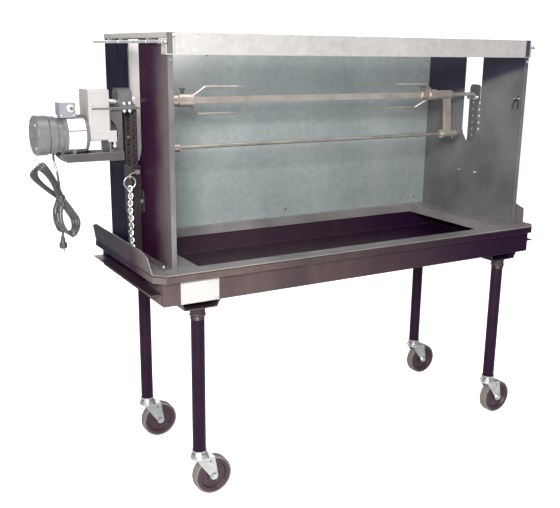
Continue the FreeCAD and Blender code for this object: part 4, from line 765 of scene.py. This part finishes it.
def chain(side, name):
    """Curb chain from the pin's ring down to the deck, its last links lying beside it."""
    low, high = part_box("pin_chains")
    ring_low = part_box("quick_pin_" + name)[0]
    x = low.x + 0.012 if side < 0 else high.x - 0.012
    y = (low.y + high.y) / 2
    top = ring_low.z + 0.009
    floor_z = low.z + 0.003
    count = int((top - floor_z - 0.010) / LINK_PITCH)
    bm = bmesh.new()
    for index in range(count):
        sway = 0.0014 * math.sin(index * 0.9)
        centre = Vector((x + sway, y, top - 0.008 - LINK_PITCH * index))
        oval_link(bm, centre, math.radians(52 if index % 2 else -38), random.uniform(-0.15, 0.15))
    for index in range(LOOSE_LINKS):
        aside = side * (0.001 + 0.004 * (index % 2))
        centre = Vector((x - aside, y + 0.010 * (index - 1.5), floor_z + 0.0045))
        oval_link(bm, centre, math.radians(70 * index), math.radians(84))
    bmesh.ops.recalc_face_normals(bm, faces=bm.faces)
    made = mesh_object("chain_" + name, bm, EXTRA["links"])
    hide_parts("pin_chains")
    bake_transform(made)


chain(-1, "left")
chain(1, "right")

# ------------------------------------------------------------------ motor, gearbox and switch box


def curved_sheet(bm, axis_y, axis_z, radius, x0, x1, degrees_0, degrees_1, thick=0.0005):
    """Thin sheet wrapped on a cylinder along X; angles run up from the front."""
    rows = []
    steps = 10
    for step in range(steps + 1):
        angle = math.radians(degrees_0 + (degrees_1 - degrees_0) * step / steps)
        out = Vector((0.0, -math.cos(angle), math.sin(angle)))
        row = []
        for x in (x0, x1):
            for r in (radius - 0.0004, radius + thick):
                row.append(bm.verts.new(Vector((x, axis_y, axis_z)) + out * r))
        rows.append(row)
    for first, second in zip(rows[:-1], rows[1:]):
        for a, b in ((0, 1), (1, 3), (3, 2), (2, 0)):
            bm.faces.new((first[a], first[b], second[b], second[a]))
    for row in (rows[0], rows[-1]):
        bm.faces.new((row[0], row[1], row[3], row[2]))


def motor_details():
    """Blank two-part label, end screws and the cap over the rear bearing."""
    low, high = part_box("motor_housing")
    axis_y, axis_z = (low.y + high.y) / 2, (low.z + high.z) / 2
    barrel_r = (high.z - low.z) / 2 - 0.001
    bm = bmesh.new()
    start, end = (high.x - back for back in LABEL_LENGTH)
    for degrees_0, degrees_1 in ((-43, 12), (16, 55)):
        curved_sheet(bm, axis_y, axis_z, barrel_r, start, end, degrees_0, degrees_1)
    piece("motor_label", bm, EXTRA["label"], "left_carriage")
    bm = bmesh.new()
    for index in range(4):
        angle = math.radians(45 + 90 * index)
        out = Vector((0.0, math.cos(angle), math.sin(angle)))
        centre = Vector((low.x - 0.0001, axis_y, axis_z)) + out * (barrel_r - 0.011)
        screw(bm, centre, -X_AXIS, 0.0042, 0.003)
    piece("motor_through_bolts", bm, EXTRA["links"], "left_carriage")
    bm = bmesh.new()
    lathe(bm, [(0.0, 0.0), (0.0, 0.013), (0.0016, 0.013), (0.003, 0.011), (0.003, 0.0)],
          Vector((low.x + 0.0002, axis_y, axis_z)), -X_AXIS, 28)
    piece("motor_bearing_cap", bm, SHADERS["motor_paint"], "left_carriage")


def switch_rosette():
    """Round washer and hexagonal nut round the toggle."""
    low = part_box("junction_box")[0]
    switch = middle("toggle_switch")
    seat = Vector((switch.x, low.y + 0.0005, switch.z))
    bm = bmesh.new()
    lathe(bm, [(0.0, 0.0048), (0.0, 0.0118), (0.0009, 0.0118), (0.0012, 0.0112), (0.0012, 0.0048)],
          seat, -Y_AXIS, 36)
    lathe(bm, [(0.001, 0.0046), (0.001, 0.0088), (0.0030, 0.0088), (0.0037, 0.0076), (0.0037, 0.0046)],
          seat, -Y_AXIS, 6)
    piece("switch_rosette", bm, EXTRA["bright"], "left_carriage", False)


def box_screws():
    """Two screws on the junction box's face and four on its lid."""
    low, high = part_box("junction_box")
    bm = bmesh.new()
    for x in (low.x + 0.005, high.x - 0.005):
        screw(bm, Vector((x, low.y + 0.003, low.z + 0.007)), -Y_AXIS, 0.0024, 0.0016, 14)
    for x in (low.x + 0.006, high.x - 0.006):
        for y in (low.y + 0.010, high.y - 0.007):
            screw(bm, Vector((x, y, high.z)), Z_AXIS, 0.0024, 0.0016, 14)
    piece("box_screws", bm, EXTRA["bright"], "left_carriage")


def gearbox_screws():
    """Low round screws on the gearbox's front and hexagonal ones on its left side."""
    low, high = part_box("gearbox_case")
    bm = bmesh.new()
    front = low.y + 0.005
    for x in (low.x + 0.009, low.x + GEARBOX_FACE - 0.009):
        for z in (high.z - 0.010, high.z - 0.045):
            screw(bm, Vector((x, front, z)), -Y_AXIS, 0.0026, 0.0012, 16)
    for y in (front + 0.012, high.y - 0.012):
        for z in (high.z - 0.012, high.z - 0.070, high.z - 0.130):
            screw(bm, Vector((low.x, y, z)), -X_AXIS, 0.0030, 0.0020, 6)
    piece("gearbox_screws", bm, SHADERS["case_paint"], "left_carriage")


motor_details()
switch_rosette()
box_screws()
gearbox_screws()


def stop_bolt():
    """Brass stub through the web of the left post."""
    low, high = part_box("lift_post_left")
    bm = bmesh.new()
    centre = Vector((high.x - 0.002, low.y + 0.036, high.z - 0.0884))
    lathe(bm, [(0.0, 0.0), (0.0, 0.0032), (0.010, 0.0032), (0.010, 0.0050), (0.0155, 0.0050),
               (0.0165, 0.0040), (0.0165, 0.0)], centre, -X_AXIS, 20)
    piece("post_stop_bolt", bm, EXTRA["brass"], "left_carriage")


def hook_highlight_pin():
    """Bright pin in the panel above the wire hook, laid along the hook's top where it stands for the hook's
    highlight: painted highlight.
    """
    low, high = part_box("tool_hook")
    bm = bmesh.new()
    centre = Vector((high.x, (low.y + high.y) / 2 - 0.001, high.z - 0.010))
    lathe(bm, [(0.0, 0.0), (0.0, 0.0036), (0.003, 0.0036), (0.003, 0.0019), (0.026, 0.0019), (0.027, 0.0)],
          centre, -X_AXIS, 16)
    piece("hook_highlight_pin", bm, EXTRA["bright"], "frame")


stop_bolt()
hook_highlight_pin()

# ------------------------------------------------------------------ welds, legs and casters


def bead(bm, path, radius, closed=False):
    """Weld bead: a lumpy run of overlapping ripples."""
    fine = smooth_path(path, 10, closed) if len(path) > 2 else [
        path[0].lerp(path[1], k / 30) for k in range(31)]
    tube(bm, fine, radius, 8, closed, lambda t: 0.86 + 0.16 * abs(math.sin(t * len(fine) * 0.8)))


def leg_welds():
    """Beads round the sockets and along the channels, and bare threads below the sockets."""
    low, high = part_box("leg_sockets")
    centres = [(x, y) for x in (low.x + SOCKET_INSET, high.x - SOCKET_INSET)
               for y in (low.y + SOCKET_INSET, high.y - SOCKET_INSET)]
    bm = bmesh.new()
    for x, y in centres:
        ring = circle(Vector((x, y, high.z - 0.0012)), SOCKET_WELD_R, 24, X_AXIS, Y_AXIS)
        tube(bm, ring, 0.0024, 8, True, lambda t: 0.85 + 0.2 * abs(math.sin(t * 75)))
    channels_low, channels_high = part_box("leg_channels")
    weld_z = channels_high.z - 0.0008
    left, right = channels_low.x, channels_high.x
    for x in (left, left + CHANNEL_LENGTH, right - CHANNEL_LENGTH, right):
        for y in (channels_low.y + 0.02, channels_high.y - 0.08):
            bead(bm, [Vector((x, y, weld_z)), Vector((x, y + WELD_LENGTH, weld_z))], 0.0022)
    piece("leg_weld_beads", bm, EXTRA["weld"], "frame")
    bm = bmesh.new()
    for x, y in centres:
        for turn in range(THREADS):
            z = low.z - 0.002 - THREAD_PITCH * turn
            lathe(bm, [(0.0011, 0.0210), (0.0, 0.0221), (-0.0011, 0.0210)], Vector((x, y, z)), Z_AXIS, 32)
    piece("leg_thread_rings", bm, EXTRA["thread"], "frame")


def caster_details(place):
    """Pressed swivel race above the fork and moulded rings on the wheel's faces."""
    low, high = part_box("caster_fork_" + place)
    stem_x = low.x + CASTER_STEM_IN
    centre = middle("caster_wheel_" + place)
    bm = bmesh.new()
    lathe(bm, [(-0.010, 0.0282), (-0.0095, 0.0294), (-0.0078, 0.0296), (-0.0068, 0.0284), (-0.0030, 0.0262),
               (-0.0022, 0.0270), (-0.0008, 0.0266), (0.0, 0.0250), (-0.010, 0.0250), (-0.010, 0.0282)],
          Vector((stem_x, centre.y, high.z - 0.0095)), Z_AXIS, 40)
    piece("caster_race_" + place, bm, EXTRA["links"], "caster_" + place)
    bm = bmesh.new()
    for side in (-1, 1):
        for radius in (0.024, 0.0335, 0.0525):
            face = centre.y + side * (0.009 if radius < 0.04 else 0.016)
            ring = circle(Vector((centre.x, face, centre.z)), radius, 40, X_AXIS, Z_AXIS)
            tube(bm, ring, 0.0011, 6, True)
    piece("caster_rings_" + place, bm, SHADERS["wheel_core"], "wheel_" + place)


leg_welds()
for place in ("front_left", "front_right", "back_left", "back_right"):
    caster_details(place)


def plate_border():
    """Raised plain border on the blank front plate."""
    low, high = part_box("front_plate")
    bm = bmesh.new()
    left, right = low.x + PLATE_INSET, high.x - PLATE_INSET
    bottom, top = low.z + PLATE_INSET, high.z - PLATE_INSET
    corners = ((left, bottom), (right, bottom), (right, top), (left, top))
    tube(bm, [Vector((x, low.y, z)) for x, z in corners], 0.0006, 6, True)
    piece("plate_border", bm, SHADERS["plate_alu"], "frame")


plate_border()
